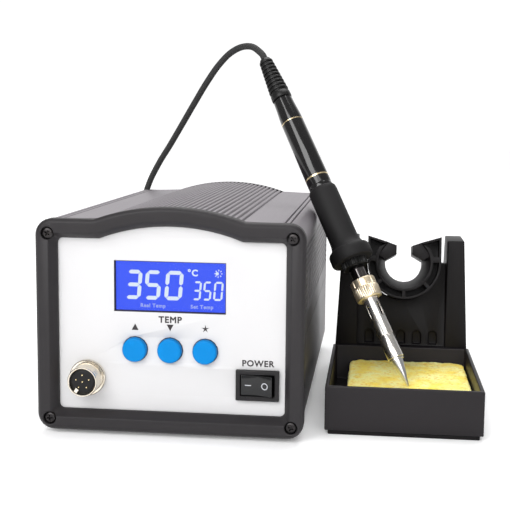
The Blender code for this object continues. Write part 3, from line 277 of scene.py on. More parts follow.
@dataclass(frozen=True)
class Moulded(Finish):
    """Moulded plastic or rubber: fine grain, faint mottling and handling smudges."""

    roughness: float = 0.4
    grain: float = 0.35
    depth: float = 0.012
    mottle: float = 0.12
    smudge: float = 0.1
    coat: float = 0.0
    shine: float = 0.22

    def draw(self, graph: Graph) -> None:
        """Draw grain in the bump, mottling in the colour and smudges in the gloss."""
        grain = graph.noise(self.grain, 3.0)
        cloud = graph.noise(14.0, 3.0)
        dust = graph.noise(2.2, 5.0).ramp((0.55, 0.0), (0.8, 1.0))
        low, high = scaled(self.colour, 1.0 - self.mottle), scaled(self.colour, 1.0 + self.mottle)
        body = graph.mix(low, high, cloud)
        pale = scaled(self.colour, 1.35)
        graph.dress(
            Base_Color=graph.mix(body, pale, dust * 0.25),
            Roughness=(cloud - 0.5) * self.smudge + (grain - 0.5) * 0.05 + self.roughness,
            Normal=graph.bump(grain, self.depth),
            Coat_Weight=self.coat,
            Specular_IOR_Level=self.shine,
        )


@dataclass(frozen=True)
class Plated(Finish):
    """Plated or bare metal with turning marks, hair scratches and a faint tarnish."""

    roughness: float = 0.15
    tarnish: Colour = (0.5, 0.42, 0.3)
    stain: float = 0.25
    turn: Point = (0.0, 0.0, 0.0)
    stretch: Point = (0.03, 0.03, 1.0)
    depth: float = 0.0004

    def draw(self, graph: Graph) -> None:
        """Draw marks that run round the piece, scratches and stains."""
        marks = graph.noise(0.6, 3.0, self.stretch, self.turn)
        hair = graph.noise(0.25, 2.0, (9.0, 0.7, 9.0), (0.4, 0.3, 0.5)).ramp((0.62, 0.0), (0.7, 1.0))
        cloud = graph.noise(6.0, 4.0)
        stained = graph.mix(self.colour, self.tarnish, cloud.ramp((0.45, 0.0), (0.8, 1.0)) * self.stain)
        graph.dress(
            Base_Color=stained,
            Metallic=1.0,
            Roughness=(marks - 0.5) * 0.04 + (cloud - 0.5) * 0.06 + hair * 0.04 + self.roughness,
            Normal=graph.bump(marks, self.depth),
        )


@dataclass(frozen=True)
class Anodised(Finish):
    """An anodised aluminium extrusion: satin, with fine lines along its length."""

    roughness: float = 0.42
    painted_wall_shade: float = 0.3
    shoulder: Sequence[tuple[float, float]] = ((0.93, 0.0), (0.99, 1.0))

    def draw(self, graph: Graph) -> None:
        """Draw die lines along Y, etched grain, broad blotchy tone, and painted shade that makes the walls
        darker than the lid.
        """
        lines = graph.noise(0.8, 3.0, (1.0, 0.02, 1.0))
        grain = graph.noise(0.22, 2.0)
        cloud = graph.noise(45.0, 3.0)
        tone = graph.mix(scaled(self.colour, 0.82), scaled(self.colour, 1.12), lines * 0.7 + cloud * 0.3)
        # Painted shade: below the lid's shoulder the colour is a darker copy, which stands in for the dark
        # reflections on the side walls.
        height = graph.node("ShaderNodeSeparateXYZ", {}, {0: graph.place}, "Z")
        lid = (height * TO_DECIMETRES).ramp(*self.shoulder)
        tone = graph.mix(scaled(self.colour, self.painted_wall_shade), tone, lid)
        normal = graph.bump(grain, 0.01, graph.bump(lines, 0.012))
        graph.dress(
            Base_Color=tone,
            Metallic=0.82,
            Roughness=(grain - 0.5) * 0.16 + (cloud - 0.5) * 0.1 + self.roughness,
            Normal=normal,
        )


@dataclass(frozen=True)
class Foam(Finish):
    """Damp cellulose sponge: open pores, paler ridges and painted orange shade in the pores."""

    pore_shade: Colour = (0.9, 0.55, 0.03)
    crest: Colour = (1.0, 0.95, 0.36)

    def draw(self, graph: Graph) -> None:
        """Draw large and small pores, with painted orange shade in them, over a blotchy yellow."""
        large = graph.cells(2.6).ramp((0.12, 0.0), (0.42, 1.0))
        small = graph.cells(0.8).ramp((0.15, 0.0), (0.5, 1.0))
        cloud = graph.noise(9.0, 5.0)
        fibre = graph.noise(0.5, 4.0, (1.0, 3.0, 1.0))
        body = graph.mix(self.colour, self.crest, cloud.ramp((0.38, 0.0), (0.62, 1.0)))
        # Painted shade: the pores, where the bump sinks the surface, take a darker orange.
        pored = graph.mix(self.pore_shade, body, large * 0.65 + small * 0.35)
        relief = graph.bump(large * 0.6 + small * 0.25 + fibre * 0.15, 0.7)
        graph.dress(Base_Color=pored, Roughness=0.9 - fibre * 0.1, Normal=relief, Sheen_Weight=0.15)


@dataclass(frozen=True)
class Printed(Finish):
    """The silk-screened front panel: satin white over metal, with a faint orange peel."""

    def draw(self, graph: Graph) -> None:
        """Draw the orange peel, a broad tone and specks of dust."""
        peel = graph.noise(0.6, 2.0)
        cloud = graph.noise(60.0, 2.0)
        speck = graph.noise(0.5, 1.0).ramp((0.72, 0.0), (0.76, 1.0))
        tone = graph.mix(scaled(self.colour, 0.965), self.colour, cloud)
        graph.dress(
            Base_Color=graph.mix(tone, scaled(self.colour, 0.8), speck * 0.35),
            Roughness=(cloud - 0.5) * 0.08 + (peel - 0.5) * 0.06 + 0.36,
            Normal=graph.bump(peel, 0.006),
        )


@dataclass(frozen=True)
class Glow(Finish):
    """A lit surface: the display's backlight and its segments."""

    strength: float = 1.0
    edge: float = 0.85

    def draw(self, graph: Graph) -> None:
        """Draw light that falls off in soft blotches, with a faint dot grid."""
        cloud = graph.noise(18.0, 1.0)
        grid = graph.noise(0.4, 1.0)
        low = scaled(self.colour, self.edge)
        light = graph.mix(low, self.colour, cloud * 0.8 + grid * 0.2)
        graph.dress(
            Base_Color=scaled(self.colour, 0.03),
            Emission_Color=light,
            Emission_Strength=self.strength,
            Specular_IOR_Level=0.1,
            Roughness=(grid - 0.5) * 0.05 + 0.3,
        )


@dataclass(frozen=True)
class Clear(Finish):
    """The display's window: nearly invisible, with its own gloss and a few fine scratches."""

    def draw(self, graph: Graph) -> None:
        """Draw a thin clear coat of gloss over see-through plastic."""
        hair = graph.noise(0.3, 2.0, (9.0, 1.0, 0.7), (0.0, 0.4, 0.0)).ramp((0.66, 0.0), (0.72, 1.0))
        graph.dress(
            Base_Color=scaled(self.colour, 0.05),
            Alpha=hair * 0.06 + 0.04,
            Roughness=hair * 0.2 + 0.05,
            Specular_IOR_Level=0.2,
        )


@dataclass(frozen=True)
class Sheet(Finish):
    """The stage's pale floor, with painted light: it glows, less near the object, which paints shade round
    it, and brightens away from it to meet the surround.
    """

    near: float = 0.16
    far: float = 0.62

    def draw(self, graph: Graph) -> None:
        """Draw the painted glow, dimmer near the object as painted shade, and a faint tone."""
        # Painted light: the emission grows with distance from the object, so the floor near it is darker, as
        # painted shade.
        away = graph.node("ShaderNodeVectorMath", {"operation": "LENGTH"}, {0: graph.place}, "Value")
        glow = (away * 0.5).ramp((0.1, self.near), (0.75, self.far))
        tone = graph.noise(300.0, 2.0)
        graph.dress(
            Base_Color=graph.mix(scaled(self.colour, 0.99), self.colour, tone),
            Emission_Color=graph.mix((0.0, 0.0, 0.0), (1.0, 1.0, 1.0), glow),
            Emission_Strength=1.0,
            Roughness=0.6,
            Specular_IOR_Level=0.1,
        )


SHELL = Anodised("anodised_shell", "anodised_aluminium", (0.21, 0.19, 0.21))
SIDE_SHELL = Anodised("anodised_base", "anodised_aluminium", (0.21, 0.19, 0.21))
FRAME = Moulded("charcoal_frame", "charcoal_bezel", (0.021, 0.019, 0.0205), 0.46, 0.3, 0.014, 0.1, 0.08)
PANEL = Printed("white_panel", "off_white_panel", (0.57, 0.565, 0.57))
INK_AND_GAP_SHADE = Moulded("dark_ink_and_gap_shade", "blackened_steel", (0.035, 0.03, 0.032), 0.5, 0.2, 0.004)
BLACK_STEEL = Moulded("black_coated_steel", "blackened_steel", (0.022, 0.021, 0.022), 0.42, 0.3, 0.014)
SCREW = Plated("black_screw", "blackened_steel", (0.035, 0.033, 0.034), 0.32, (0.06, 0.05, 0.045), 0.4)
BUTTON = Moulded("cyan_button", "blue_button", (0.001, 0.185, 0.50), 0.4, 0.4, 0.005, 0.05, 0.06, shine=0.1)
SWITCH = Moulded("switch_black", "black_plastic", (0.013, 0.012, 0.013), 0.34, 0.3, 0.006, 0.1, 0.08)
ROCKER = Moulded("rocker_black", "black_plastic", (0.005, 0.005, 0.0055), 0.2, 0.5, 0.003, 0.1, 0.1, 0.4)
MARK = Moulded("pale_mark", "off_white_panel", (0.42, 0.43, 0.46), 0.4, 0.3, 0.004)
BLACK_PART = Moulded("black_moulding", "black_plastic", (0.009, 0.009, 0.009), 0.38)
NICKEL = Plated("warm_nickel", "nickel", (0.78, 0.72, 0.62), 0.2, (0.6, 0.48, 0.3), 0.35)
PIN = Plated("gold_pin", "nickel", (0.9, 0.74, 0.42), 0.18)
BRASS = Plated("bare_brass", "brass", (0.78, 0.6, 0.27), 0.25, (0.4, 0.28, 0.12), 0.4)
BACKLIGHT = Glow("blue_backlight", "display_module", (0.055, 0.115, 1.0), 1.0, 0.95)
SEGMENT = Glow("lit_segment", "display_module", (0.78, 0.88, 1.0), 0.98, 0.96)
FAINT = Glow("faint_segment", "display_module", (0.42, 0.52, 1.0), 0.9, 0.9)
WINDOW = Clear("clear_window", "display_lens", (0.75, 0.8, 1.0))
STAND = Moulded("stand_black", "stand_plastic", (0.006, 0.0052, 0.0058), 0.44, 0.55, 0.02, 0.12, 0.12,
                shine=0.14)
TRAY = Moulded("tray_black", "stand_plastic", (0.012, 0.010, 0.0115), 0.42, 0.5, 0.02, 0.1, 0.1)
SPONGE = Foam("yellow_sponge", "sponge", (1.0, 0.78, 0.09))
IRON_TURN = tuple((Matrix.Rotation(-IRON_LEAN, 3, "Y") @ Matrix.Rotation(-IRON_HEADING, 3, "Z")).to_euler())
CHROME = Plated("polished_chrome", "chrome", (0.88, 0.865, 0.84), 0.24, (0.75, 0.6, 0.38), 0.3, IRON_TURN)
TINNED = Plated("tinned_tip", "chrome", (0.72, 0.72, 0.73), 0.3, (0.42, 0.33, 0.24), 0.45, IRON_TURN)
GOLD_NUT = Plated("pale_gold_nut", "pale_gold", (0.9, 0.79, 0.6), 0.4, (0.62, 0.45, 0.24), 0.3, IRON_TURN)
DARK_CHROME = Plated("dark_chrome", "black_chrome", (0.16, 0.15, 0.15), 0.12, (0.1, 0.08, 0.06), 0.3)
GRIP = Moulded("grip_rubber", "soft_rubber", (0.0085, 0.008, 0.0085), 0.62, 0.3, 0.03, 0.14, 0.08)
BARREL = Moulded("gloss_handle", "handle_gloss", (0.0075, 0.0072, 0.0075), 0.17, 0.6, 0.004, 0.1, 0.08, 0.6)
CORD = Moulded("cord_silicone", "cord_silicone", (0.008, 0.008, 0.0085), 0.42, 0.3, 0.006, 0.12, 0.1)
GOLD_MARK = Plated("gold_mark", "pale_gold", (0.86, 0.7, 0.42), 0.3)
BOARD = Moulded("green_board", "circuit_board", (0.015, 0.19, 0.06), 0.35, 0.8, 0.01, 0.25)
CERAMIC = Moulded("heater_ceramic", "ceramic", (0.78, 0.75, 0.68), 0.6)
COPPER = Plated("copper_winding", "transformer_winding", (0.6, 0.27, 0.13), 0.35)
CORE = Plated("laminated_core", "laminated_iron", (0.2, 0.2, 0.21), 0.45)
FLOOR = Sheet("pale_floor", None, (0.9, 0.9, 0.905))


# ---- modelling --------------------------------------------------------------------------------------
def deselect() -> None:
    """Leave object mode's selection empty."""
    if bpy.context.object and bpy.context.object.mode != "OBJECT":
        bpy.ops.object.mode_set(mode="OBJECT")
    bpy.ops.object.select_all(action="DESELECT")


@dataclass
class Piece:
    """One mesh object that is being made, with the operations that shape and finish it."""

    obj: bpy.types.Object

    def grab(self) -> None:
        """Make this the only selected and active object."""
        deselect()
        self.obj.select_set(True)
        bpy.context.view_layer.objects.active = self.obj

    def edit(self, work: Callable[[], None]) -> "Piece":
        """Run operators in edit mode with everything selected."""
        self.grab()
        bpy.ops.object.mode_set(mode="EDIT")
        bpy.ops.mesh.select_all(action="SELECT")
        work()
        bpy.ops.object.mode_set(mode="OBJECT")
        return self

    def modifier(self, kind: str, **settings: Any) -> "Piece":
        """Add a modifier with its settings and apply it."""
        self.grab()
        made = self.obj.modifiers.new(kind.lower(), kind)
        for key, setting in settings.items():
            setattr(made, key, setting)
        bpy.ops.object.modifier_apply(modifier=made.name)
        return self

    def bevel(self, width: float, segments: int = 2, angle: float = 35.0) -> "Piece":
        """Round the edges sharper than an angle, by a width in the piece's own units."""
        return self.modifier("BEVEL", width=width, segments=segments, limit_method="ANGLE",
                             angle_limit=math.radians(angle), miter_outer="MITER_ARC")

    def cut(self, *cutters: "Piece") -> "Piece":
        """Cut other pieces out of this one and remove them."""
        for cutter in cutters:
            self.modifier("BOOLEAN", operation="DIFFERENCE", object=cutter.obj, solver="EXACT")
            cutter.remove()
        return self

    def weld(self, *others: "Piece") -> "Piece":
        """Take other pieces' meshes into this one."""
        self.grab()
        for other in others:
            other.obj.select_set(True)
        bpy.context.view_layer.objects.active = self.obj
        bpy.ops.object.join()
        return self

    def tidy(self) -> "Piece":
        """Merge doubled points, close holes and turn the faces outwards."""
        def work() -> None:
            """Run the three operators."""
            bpy.ops.mesh.remove_doubles(threshold=1e-5)
            bpy.ops.mesh.fill_holes(sides=0)
            bpy.ops.mesh.normals_make_consistent(inside=False)
        return self.edit(work)

    def smooth(self, angle: float = 34.0) -> "Piece":
        """Shade smoothly across edges flatter than an angle."""
        self.grab()
        bpy.ops.object.shade_smooth_by_angle(angle=math.radians(angle))
        return self

    def copy(self, name: str, matrix: Matrix) -> "Piece":
        """Return a copy with its own mesh, moved by a matrix."""
        made = bpy.data.objects.new(name, self.obj.data.copy())
        bpy.context.scene.collection.objects.link(made)
        made.data.transform(matrix)
        return Piece(made)

    def place(self, matrix: Matrix) -> "Piece":
        """Move the mesh itself, so that the object stays at the origin."""
        self.obj.data.transform(self.obj.matrix_basis)
        self.obj.matrix_basis = Matrix()
        self.obj.data.transform(matrix)
        return self

    def remove(self) -> None:
        """Take away a model that was only there to be copied."""
        bpy.data.objects.remove(self.obj)

    def set_down(self, body: Body, finish: Finish, *nodes: str) -> "Piece":
        """Bring a piece from bench millimetres to the row frame and show it."""
        return self.place(HERE).show(body, finish, *nodes)

    def show(self, body: Body, finish: Finish, *nodes: str) -> "Piece":
        """Dress the piece, let it ride on a body and let it stand for CAD nodes.

        Args:
            body: the CAD body it moves with.
            finish: its surface.
            nodes: the CAD nodes it is shown for.

        Returns:
            The piece.
        """
        self.obj.data.materials.clear()
        self.obj.data.materials.append(finish.material())
        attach(self.obj, body.value)
        if nodes:
            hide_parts(*nodes)
        LOG.info("%s rides on %s in %s", self.obj.name, body.value, finish.name)
        return self


def added(name: str) -> Piece:
    """Name the object an operator has just added, and return it."""
    made = bpy.context.object
    made.name = name
    made.data.name = name
    return Piece(made)


def block(name: str, low: Point, high: Point) -> Piece:
    """Add a cube primitive between two corners, in millimetres."""
    deselect()
    low_corner, high_corner = Vector(low), Vector(high)
    bpy.ops.mesh.primitive_cube_add(size=1.0)
    size = high_corner - low_corner
    return added(name).place(Matrix.LocRotScale((low_corner + high_corner) / 2, None, size))


def loft(name: str, loops: Sequence[Loop], ends: Ends = Ends.CAPPED) -> Piece:
    """Extrude a closed loop of edges through a series of loops of the same count.

    Args:
        name: the piece's name.
        loops: the places of the points of each loop.
        ends: whether the ends are capped, or the last loop joins the first.

    Returns:
        The closed piece.
    """
    deselect()
    bpy.ops.mesh.primitive_circle_add(vertices=len(loops[0]), radius=1.0)
    made = added(name)

    def shape(loop: Loop, first: bool) -> None:
        """Move the selected points to a loop's places, in the order that the first loop gave them."""
        mesh = bmesh.from_edit_mesh(made.obj.data)
        order = mesh.verts.layers.int.get("order") or mesh.verts.layers.int.new("order")
        for index, vert in enumerate(mesh.verts):
            if first:
                vert[order] = index
            if vert.select:
                vert.co = loop[vert[order]]
        bmesh.update_edit_mesh(made.obj.data)

    def work() -> None:
        """Place the first loop, extrude it through the others and close the ends."""
        shape(loops[0], True)
        for loop in loops[1:]:
            bpy.ops.mesh.extrude_region()
            shape(loop, False)
        if ends is Ends.RING:
            bpy.ops.mesh.select_all(action="DESELECT")
            bpy.ops.mesh.select_non_manifold()
            bpy.ops.mesh.bridge_edge_loops()

    made.edit(work)
    made.obj.data.attributes.remove(made.obj.data.attributes["order"])
    return made.tidy()


def turned(name: str, profile: Sequence[Point], sides: int = 48, ends: Ends = Ends.CAPPED,
           flute: Callable[[int, float], float] | None = None) -> Piece:
    """Turn a profile about Z.

    Args:
        name: the piece's name.
        profile: (radius, height) points in millimetres.
        sides: how many sides the turned piece has.
        ends: whether the ends are capped, or the profile closes on itself.
        flute: the change of radius at a side's number and a height, for teeth and knurls.

    Returns:
        The closed piece.
    """
    loops = []
    for radius, height in profile:
        loop = []
        for side in range(sides):
            angle = 2 * math.pi * side / sides
            reach = radius + (flute(side, height) if flute and radius else 0.0)
            loop.append(Vector((reach * math.cos(angle), reach * math.sin(angle), height)))
        loops.append(loop)
    return loft(name, loops, ends)


def plate(name: str, outline: Sequence[Point], front: float, back: float) -> Piece:
    """Extrude an (x, z) outline between two depths."""
    return loft(name, [[Vector((x, depth, z)) for x, z in outline] for depth in (front, back)])


def sector(name: str, radii: Point, angles: Point, depths: Point, steps: int = 8) -> Piece:
    """Sweep a rectangle round the Y axis, between two radii, angles in degrees and depths."""
    loops = []
    for step in range(steps + 1):
        angle = math.radians(angles[0] + (angles[1] - angles[0]) * step / steps)
        corners = [(radii[0], depths[0]), (radii[1], depths[0]), (radii[1], depths[1]), (radii[0], depths[1])]
        loops.append([Vector((r * math.cos(angle), y, r * math.sin(angle))) for r, y in corners])
    return loft(name, loops)


def copied(node: str, name: str, flat: bool = True) -> Piece:
    """Return a welded copy of a CAD solid in bench millimetres, with its flat faces made whole if asked."""
    made = bpy.data.objects.new(name, bpy.data.objects[node].data.copy())
    bpy.context.scene.collection.objects.link(made)
    made.data.transform(HERE.inverted())

    piece = Piece(made).edit(lambda: bpy.ops.mesh.remove_doubles(threshold=1e-3))
    if flat:
        piece.edit(lambda: bpy.ops.mesh.dissolve_limited(angle_limit=math.radians(0.8)))
    return piece


def lettering(name: str, text: str, height: float, matrix: Matrix) -> Piece:
    """Return flat generic lettering as a thin mesh that stands in the XZ plane."""
    deselect()
    bpy.ops.object.text_add()
    made = bpy.context.object
    made.data.body = text
    made.data.size = height
    made.data.align_x = "CENTER"
    made.data.extrude = 0.03
    made.data.bevel_depth = 0.034 * height
    made.data.bevel_resolution = 0
    made.data.space_character = 1.15
    bpy.ops.object.convert(target="MESH")
    piece = added(name)
    piece.place(TO_FRONT.to_matrix().to_4x4())
    return piece.place(matrix)


def arc(centre: Point, radius: float, start: float, end: float, parts: int) -> list[tuple[float, float]]:
    """Return points of an arc between two angles in degrees."""
    angles = [math.radians(start + (end - start) * step / parts) for step in range(parts + 1)]
    return [(centre[0] + radius * math.cos(angle), centre[1] + radius * math.sin(angle)) for angle in angles]


def dress_nodes(finish: Finish, *nodes: str) -> None:
    """Give CAD nodes that stay shown a procedural finish."""
    for node in nodes:
        mesh = bpy.data.objects[node].data
        mesh.materials.clear()
        mesh.materials.append(finish.material())
        LOG.info("%s stays, in %s", node, finish.name)


# ---- stage ------------------------------------------------------------------------------------------
@dataclass
class Studio:
    """The floor, the lights and the camera."""

    eye: Point = (96.92, -423.05, 155.25)
    yaw: float = math.radians(-5.19)
    pitch: float = math.radians(6.3)
    roll: float = math.radians(0.79)
    lens: float = 65.16
    sensor: float = 36.0
    shift: Point = (-0.0737, -0.0716)
    clip: Point = (0.01, 50.0)
    floor_size: float = 9000.0
    surround: Sequence[tuple[str, float]] = (("From Min", 0.45), ("From Max", 0.85), ("To Min", 0.3),
                                             ("To Max", 1.06))
    lamps: Sequence[tuple[str, Point, Point, float, float]] = (
        ("key", (-420.0, -950.0, 850.0), (20.0, 60.0, 50.0), 900.0, 15.0),
        ("top", (60.0, 330.0, 950.0), (20.0, 60.0, 60.0), 700.0, 7.0),
        ("side", (330.0, -900.0, 500.0), (110.0, 60.0, 50.0), 600.0, 4.0),
    )

    def floor(self) -> None:
        """Lay the pale floor, which glows with painted light."""
        deselect()
        bpy.ops.mesh.primitive_plane_add(size=self.floor_size)
        made = added("floor").place(HERE)
        made.obj.data.materials.append(FLOOR.material())

    def light(self) -> None:
        """Hang soft lamps and set the white surround, which is dimmer towards the front."""
        world = bpy.data.worlds.new("surround")
        world.use_nodes = True
        nodes, links = world.node_tree.nodes, world.node_tree.links
        compass = nodes.new("ShaderNodeTexCoord")
        parts = nodes.new("ShaderNodeSeparateXYZ")
        ramp = nodes.new("ShaderNodeMapRange")
        ramp.interpolation_type = "SMOOTHSTEP"
        for name, level in self.surround:
            ramp.inputs[name].default_value = level
        links.new(compass.outputs["Generated"], parts.inputs[0])
        links.new(parts.outputs["Y"], ramp.inputs["Value"])
        links.new(ramp.outputs[0], nodes["Background"].inputs["Strength"])
        nodes["Background"].inputs["Color"].default_value = (1.0, 1.0, 1.0, 1.0)
        bpy.context.scene.world = world
        for name, place, aim, size, power in self.lamps:
            deselect()
            bpy.ops.object.light_add(type="AREA", location=bench(*place))
            lamp = bpy.context.object
            lamp.name = name
            lamp.data.size = size * MM
            lamp.data.energy = power
            lamp.rotation_euler = (bench(*aim) - bench(*place)).to_track_quat("-Z", "Y").to_euler()
        bpy.context.scene.view_settings.view_transform = "Standard"

    def look(self) -> None:
        """Set the camera."""
        deselect()
        bpy.ops.object.camera_add()
        camera = bpy.context.object
        level = math.cos(self.pitch)
        forward = Vector((math.sin(self.yaw) * level, math.cos(self.yaw) * level, -math.sin(self.pitch)))
        right = Vector((math.cos(self.yaw), -math.sin(self.yaw), 0.0))
        over = right.cross(forward)
        side = math.cos(self.roll) * right + math.sin(self.roll) * over
        over = math.cos(self.roll) * over - math.sin(self.roll) * right
        turn = Matrix((side, over, -forward)).transposed().to_4x4()
        camera.matrix_world = Matrix.Translation(bench(*self.eye)) @ turn
        camera.data.lens = self.lens
        camera.data.sensor_width = self.sensor
        camera.data.shift_x, camera.data.shift_y = self.shift
        camera.data.clip_start, camera.data.clip_end = self.clip
        bpy.context.scene.camera = camera

    def build(self) -> None:
        """Build the stage."""
        self.floor()
        self.light()
        self.look()


CORNERS = ((-1, -1), (1, -1), (1, 1), (-1, 1))
HALF_WIDTH = 65.0
FRAME_FOOT = 2.2
SHOULDER = 105.5
ARCH_HALF_CHORD = 36.5
ARCH_RISE = 6.5
FRAME_CORNER = 8.0
LEAST_CORNER = 2.6
CORNER_SCREWS = ((-58.9, 98.5), (58.9, 98.5), (-58.9, 7.9), (58.9, 7.9))


# ---- power unit -------------------------------------------------------------------------------------
def arched(inset: float, depth: float) -> Loop:
    """Return the front frame's outline, moved inwards: straight sides, rounded corners and an arched top."""
    half = HALF_WIDTH - inset
    bottom = FRAME_FOOT + inset
    corner = max(FRAME_CORNER - inset, LEAST_CORNER)
    crest = SHOULDER + ARCH_RISE
    rise_centre = crest - (ARCH_HALF_CHORD ** 2 + ARCH_RISE ** 2) / (2 * ARCH_RISE)
    reach = crest - rise_centre - inset
    top = SHOULDER - inset
    sweep = math.degrees(math.acos((top - rise_centre) / reach)) if reach > top - rise_centre else 0.0
    outline = arc((-half + corner, bottom + corner), corner, 180, 270, 8)
    outline += arc((half - corner, bottom + corner), corner, 270, 360, 8)
    outline += arc((half - corner, top - corner), corner, 0, 90, 8)
    outline += arc((0.0, rise_centre), reach, 90 - sweep, 90 + sweep, 24)
    outline += arc((-half + corner, top - corner), corner, 90, 180, 8)
    return [Vector((x, depth, z)) for x, z in outline]


@dataclass
class FrontFrame:
    """The charcoal frame round the front panel and the four screws in its corners."""

    section: Sequence[Point] = ((0.0, 6.0), (0.0, 1.75), (0.12, 1.3), (1.45, 0.12), (1.9, 0.0), (6.4, 0.0),
                                (6.7, 0.12), (9.2, 4.3), (9.5, 4.9), (9.5, 6.0))
    well: Sequence[Point] = ((0, -1.0), (3.6, -1.0), (3.6, 0.0), (3.15, 0.35), (3.1, 2.31), (0, 2.31))
    gasket: Sequence[Point] = ((0.5, 6.02), (0.5, 8.58), (1.3, 8.58), (1.3, 6.02))
    seat: float = 2.3

    def frame(self) -> None:
        """Loft the chamfered ring through its (inset, depth) section and sink the screw wells."""
        ring = loft("front_frame", [arched(*point) for point in self.section], Ends.RING)
        for number, (x, z) in enumerate(CORNER_SCREWS, 1):
            well = turned(f"well_{number}", self.well, 40)
            # Each well is turned a little, so that its points don't line up with the frame's.
            turn = TO_BACK.to_matrix().to_4x4() @ Matrix.Rotation(0.03 * number, 4, "Z")
            ring.cut(well.place(Matrix.Translation((x, 0.0, z)) @ turn))
        ring.smooth(38).set_down(Body.BASE, FRAME, "front_bezel")

    def build(self) -> None:
        """Build the frame, the dark gasket behind it and its screws."""
        self.frame()
        gasket = loft("gasket", [arched(*point) for point in self.gasket], Ends.RING)
        gasket.set_down(Body.BASE, BLACK_PART)
        screw = Screw().model()
        for number, (x, z) in enumerate(CORNER_SCREWS, 1):
            matrix = placed(x, self.seat, z, TO_BACK) @ Matrix.Rotation(0.5 * number, 4, "Z")
            screw.copy(f"frame_screw_{number}", matrix).show(Body.BASE, SCREW, f"bezel_screw_{number}")
        screw.remove()


@dataclass
class Screw:
    """A black cross-recessed screw head, with its underside at the origin and its face at -Z."""

    radius: float = 2.8
    height: float = 2.0
    dome: float = 1.05
    cross: Point = (1.55, 0.36)
    depth: float = 1.3
    taper: float = 0.62

    def slot(self, name: str, wide: float, narrow: float) -> Piece:
        """Return the cutter of one bar of the cross, narrower at its bottom."""
        loops = []
        for size, height in ((1.0, -0.4), (self.taper, self.depth)):
            loops.append([Vector((sx * wide * size, sy * narrow * size, height - self.height))
                          for sx, sy in CORNERS])
        return loft(name, loops)

    def model(self) -> Piece:
        """Turn the domed head and cut the cross."""
        rim = self.dome - self.height
        profile = [(0.0, 0.0), (self.radius, 0.0), (self.radius, rim)]
        for angle in (math.radians(20 * step) for step in range(1, 5)):
            profile.append((self.radius * math.cos(angle) ** 0.7, rim - self.dome * math.sin(angle)))
        profile.append((0.0, -self.height))
        head = turned("screw", profile, 36)
        head.cut(self.slot("slot_0", self.cross[1], self.cross[0]))
        head.cut(self.slot("slot_1", *self.cross))
        return head.tidy().smooth(40)


@dataclass
class Case:
    """The two finned shells, the rear panel, the inlet, the fuse, the earth socket and the feet."""

    feet: Sequence[Point] = ((-44.3, 20.0), (44.3, 20.0), (-44.3, 170.0), (44.3, 170.0))
    back: float = 190.0
    inlet: Point = (-30.0, 176.0)
    blades: Sequence[Point] = ((-7.0, 30.0), (7.0, 30.0), (0.0, 34.0))

    def shells(self) -> None:
        """Round the lips of the extruded fins and ribs."""
        for node, name, finish in (("case_upper_shell", "upper_shell", SHELL),
                                   ("case_lower_shell", "lower_shell", SIDE_SHELL)):
            copied(node, name).bevel(0.16, 1, 50).smooth(30).set_down(Body.BASE, finish, node)

    def rear(self) -> None:
        """Shape what is on the rear panel."""
        panel = copied("rear_panel", "back_panel").bevel(0.2, 1).smooth(30)
        panel.set_down(Body.BASE, BLACK_STEEL, "rear_panel")
        screw = Screw().model()
        for number, (x, z) in enumerate(CORNER_SCREWS, 1):
            matrix = placed(x, self.back, z, TO_FRONT) @ Matrix.Rotation(0.7 * number, 4, "Z")
            screw.copy(f"back_screw_{number}", matrix).show(Body.BASE, SCREW, f"rear_screw_{number}")
        screw.remove()
        inlet = copied("mains_inlet", "power_inlet").bevel(0.5, 2, 40).smooth(30).place(HERE)
        inlet.show(Body.BASE, BLACK_PART, "mains_inlet")
        blade = block("inlet_pin", (-1.0, 0.0, -2.0), (1.0, 14.0, 2.0)).bevel(0.35)
        for number, (x, z) in enumerate(self.blades, 1):
            matrix = placed(self.inlet[0] + x, self.inlet[1], z)
            blade.copy(f"inlet_pin_{number}", matrix).smooth().show(Body.BASE, NICKEL)
        blade.remove()
        for node, name, body, finish in (("fuse_holder", "fuse_body", Body.BASE, BLACK_PART),
                                         ("fuse_cap", "fuse_knob_cap", Body.FUSE, BLACK_PART),
                                         ("earth_socket", "earth_jack", Body.BASE, BRASS)):
            copied(node, name).bevel(0.35, 2, 40).smooth(30).set_down(body, finish, node)

    def foot(self) -> None:
        """Turn one foot with a dished sole and copy it four times."""
        profile = [(0.0, 0.55), (3.4, 0.55), (4.2, 0.0), (5.4, 0.0), (5.85, 0.3), (6.0, 0.8), (6.0, 2.7),
                   (0.0, 2.7)]
        model = turned("foot", profile, 36).smooth(35)
        for number, (x, y) in enumerate(self.feet, 1):
            copy = model.copy(f"rubber_foot_{number}", placed(x, y, 0.0))
            copy.show(Body.BASE, GRIP, f"unit_foot_{number}")
        model.remove()

    def insides(self) -> None:
        """Dress the pieces inside the case, which stay as the CAD made them."""
        dress_nodes(BOARD, "main_board", "display_board")
        dress_nodes(CORE, "transformer_core")
        dress_nodes(COPPER, "transformer_winding")
        dress_nodes(BLACK_PART, "main_capacitor", "tact_switch_up", "tact_switch_down", "tact_switch_set")
        dress_nodes(SHELL, "heatsink")
        dress_nodes(NICKEL, "socket_nut")

    def build(self) -> None:
        """Build the case."""
        self.shells()
        self.rear()
        self.foot()
        self.insides()


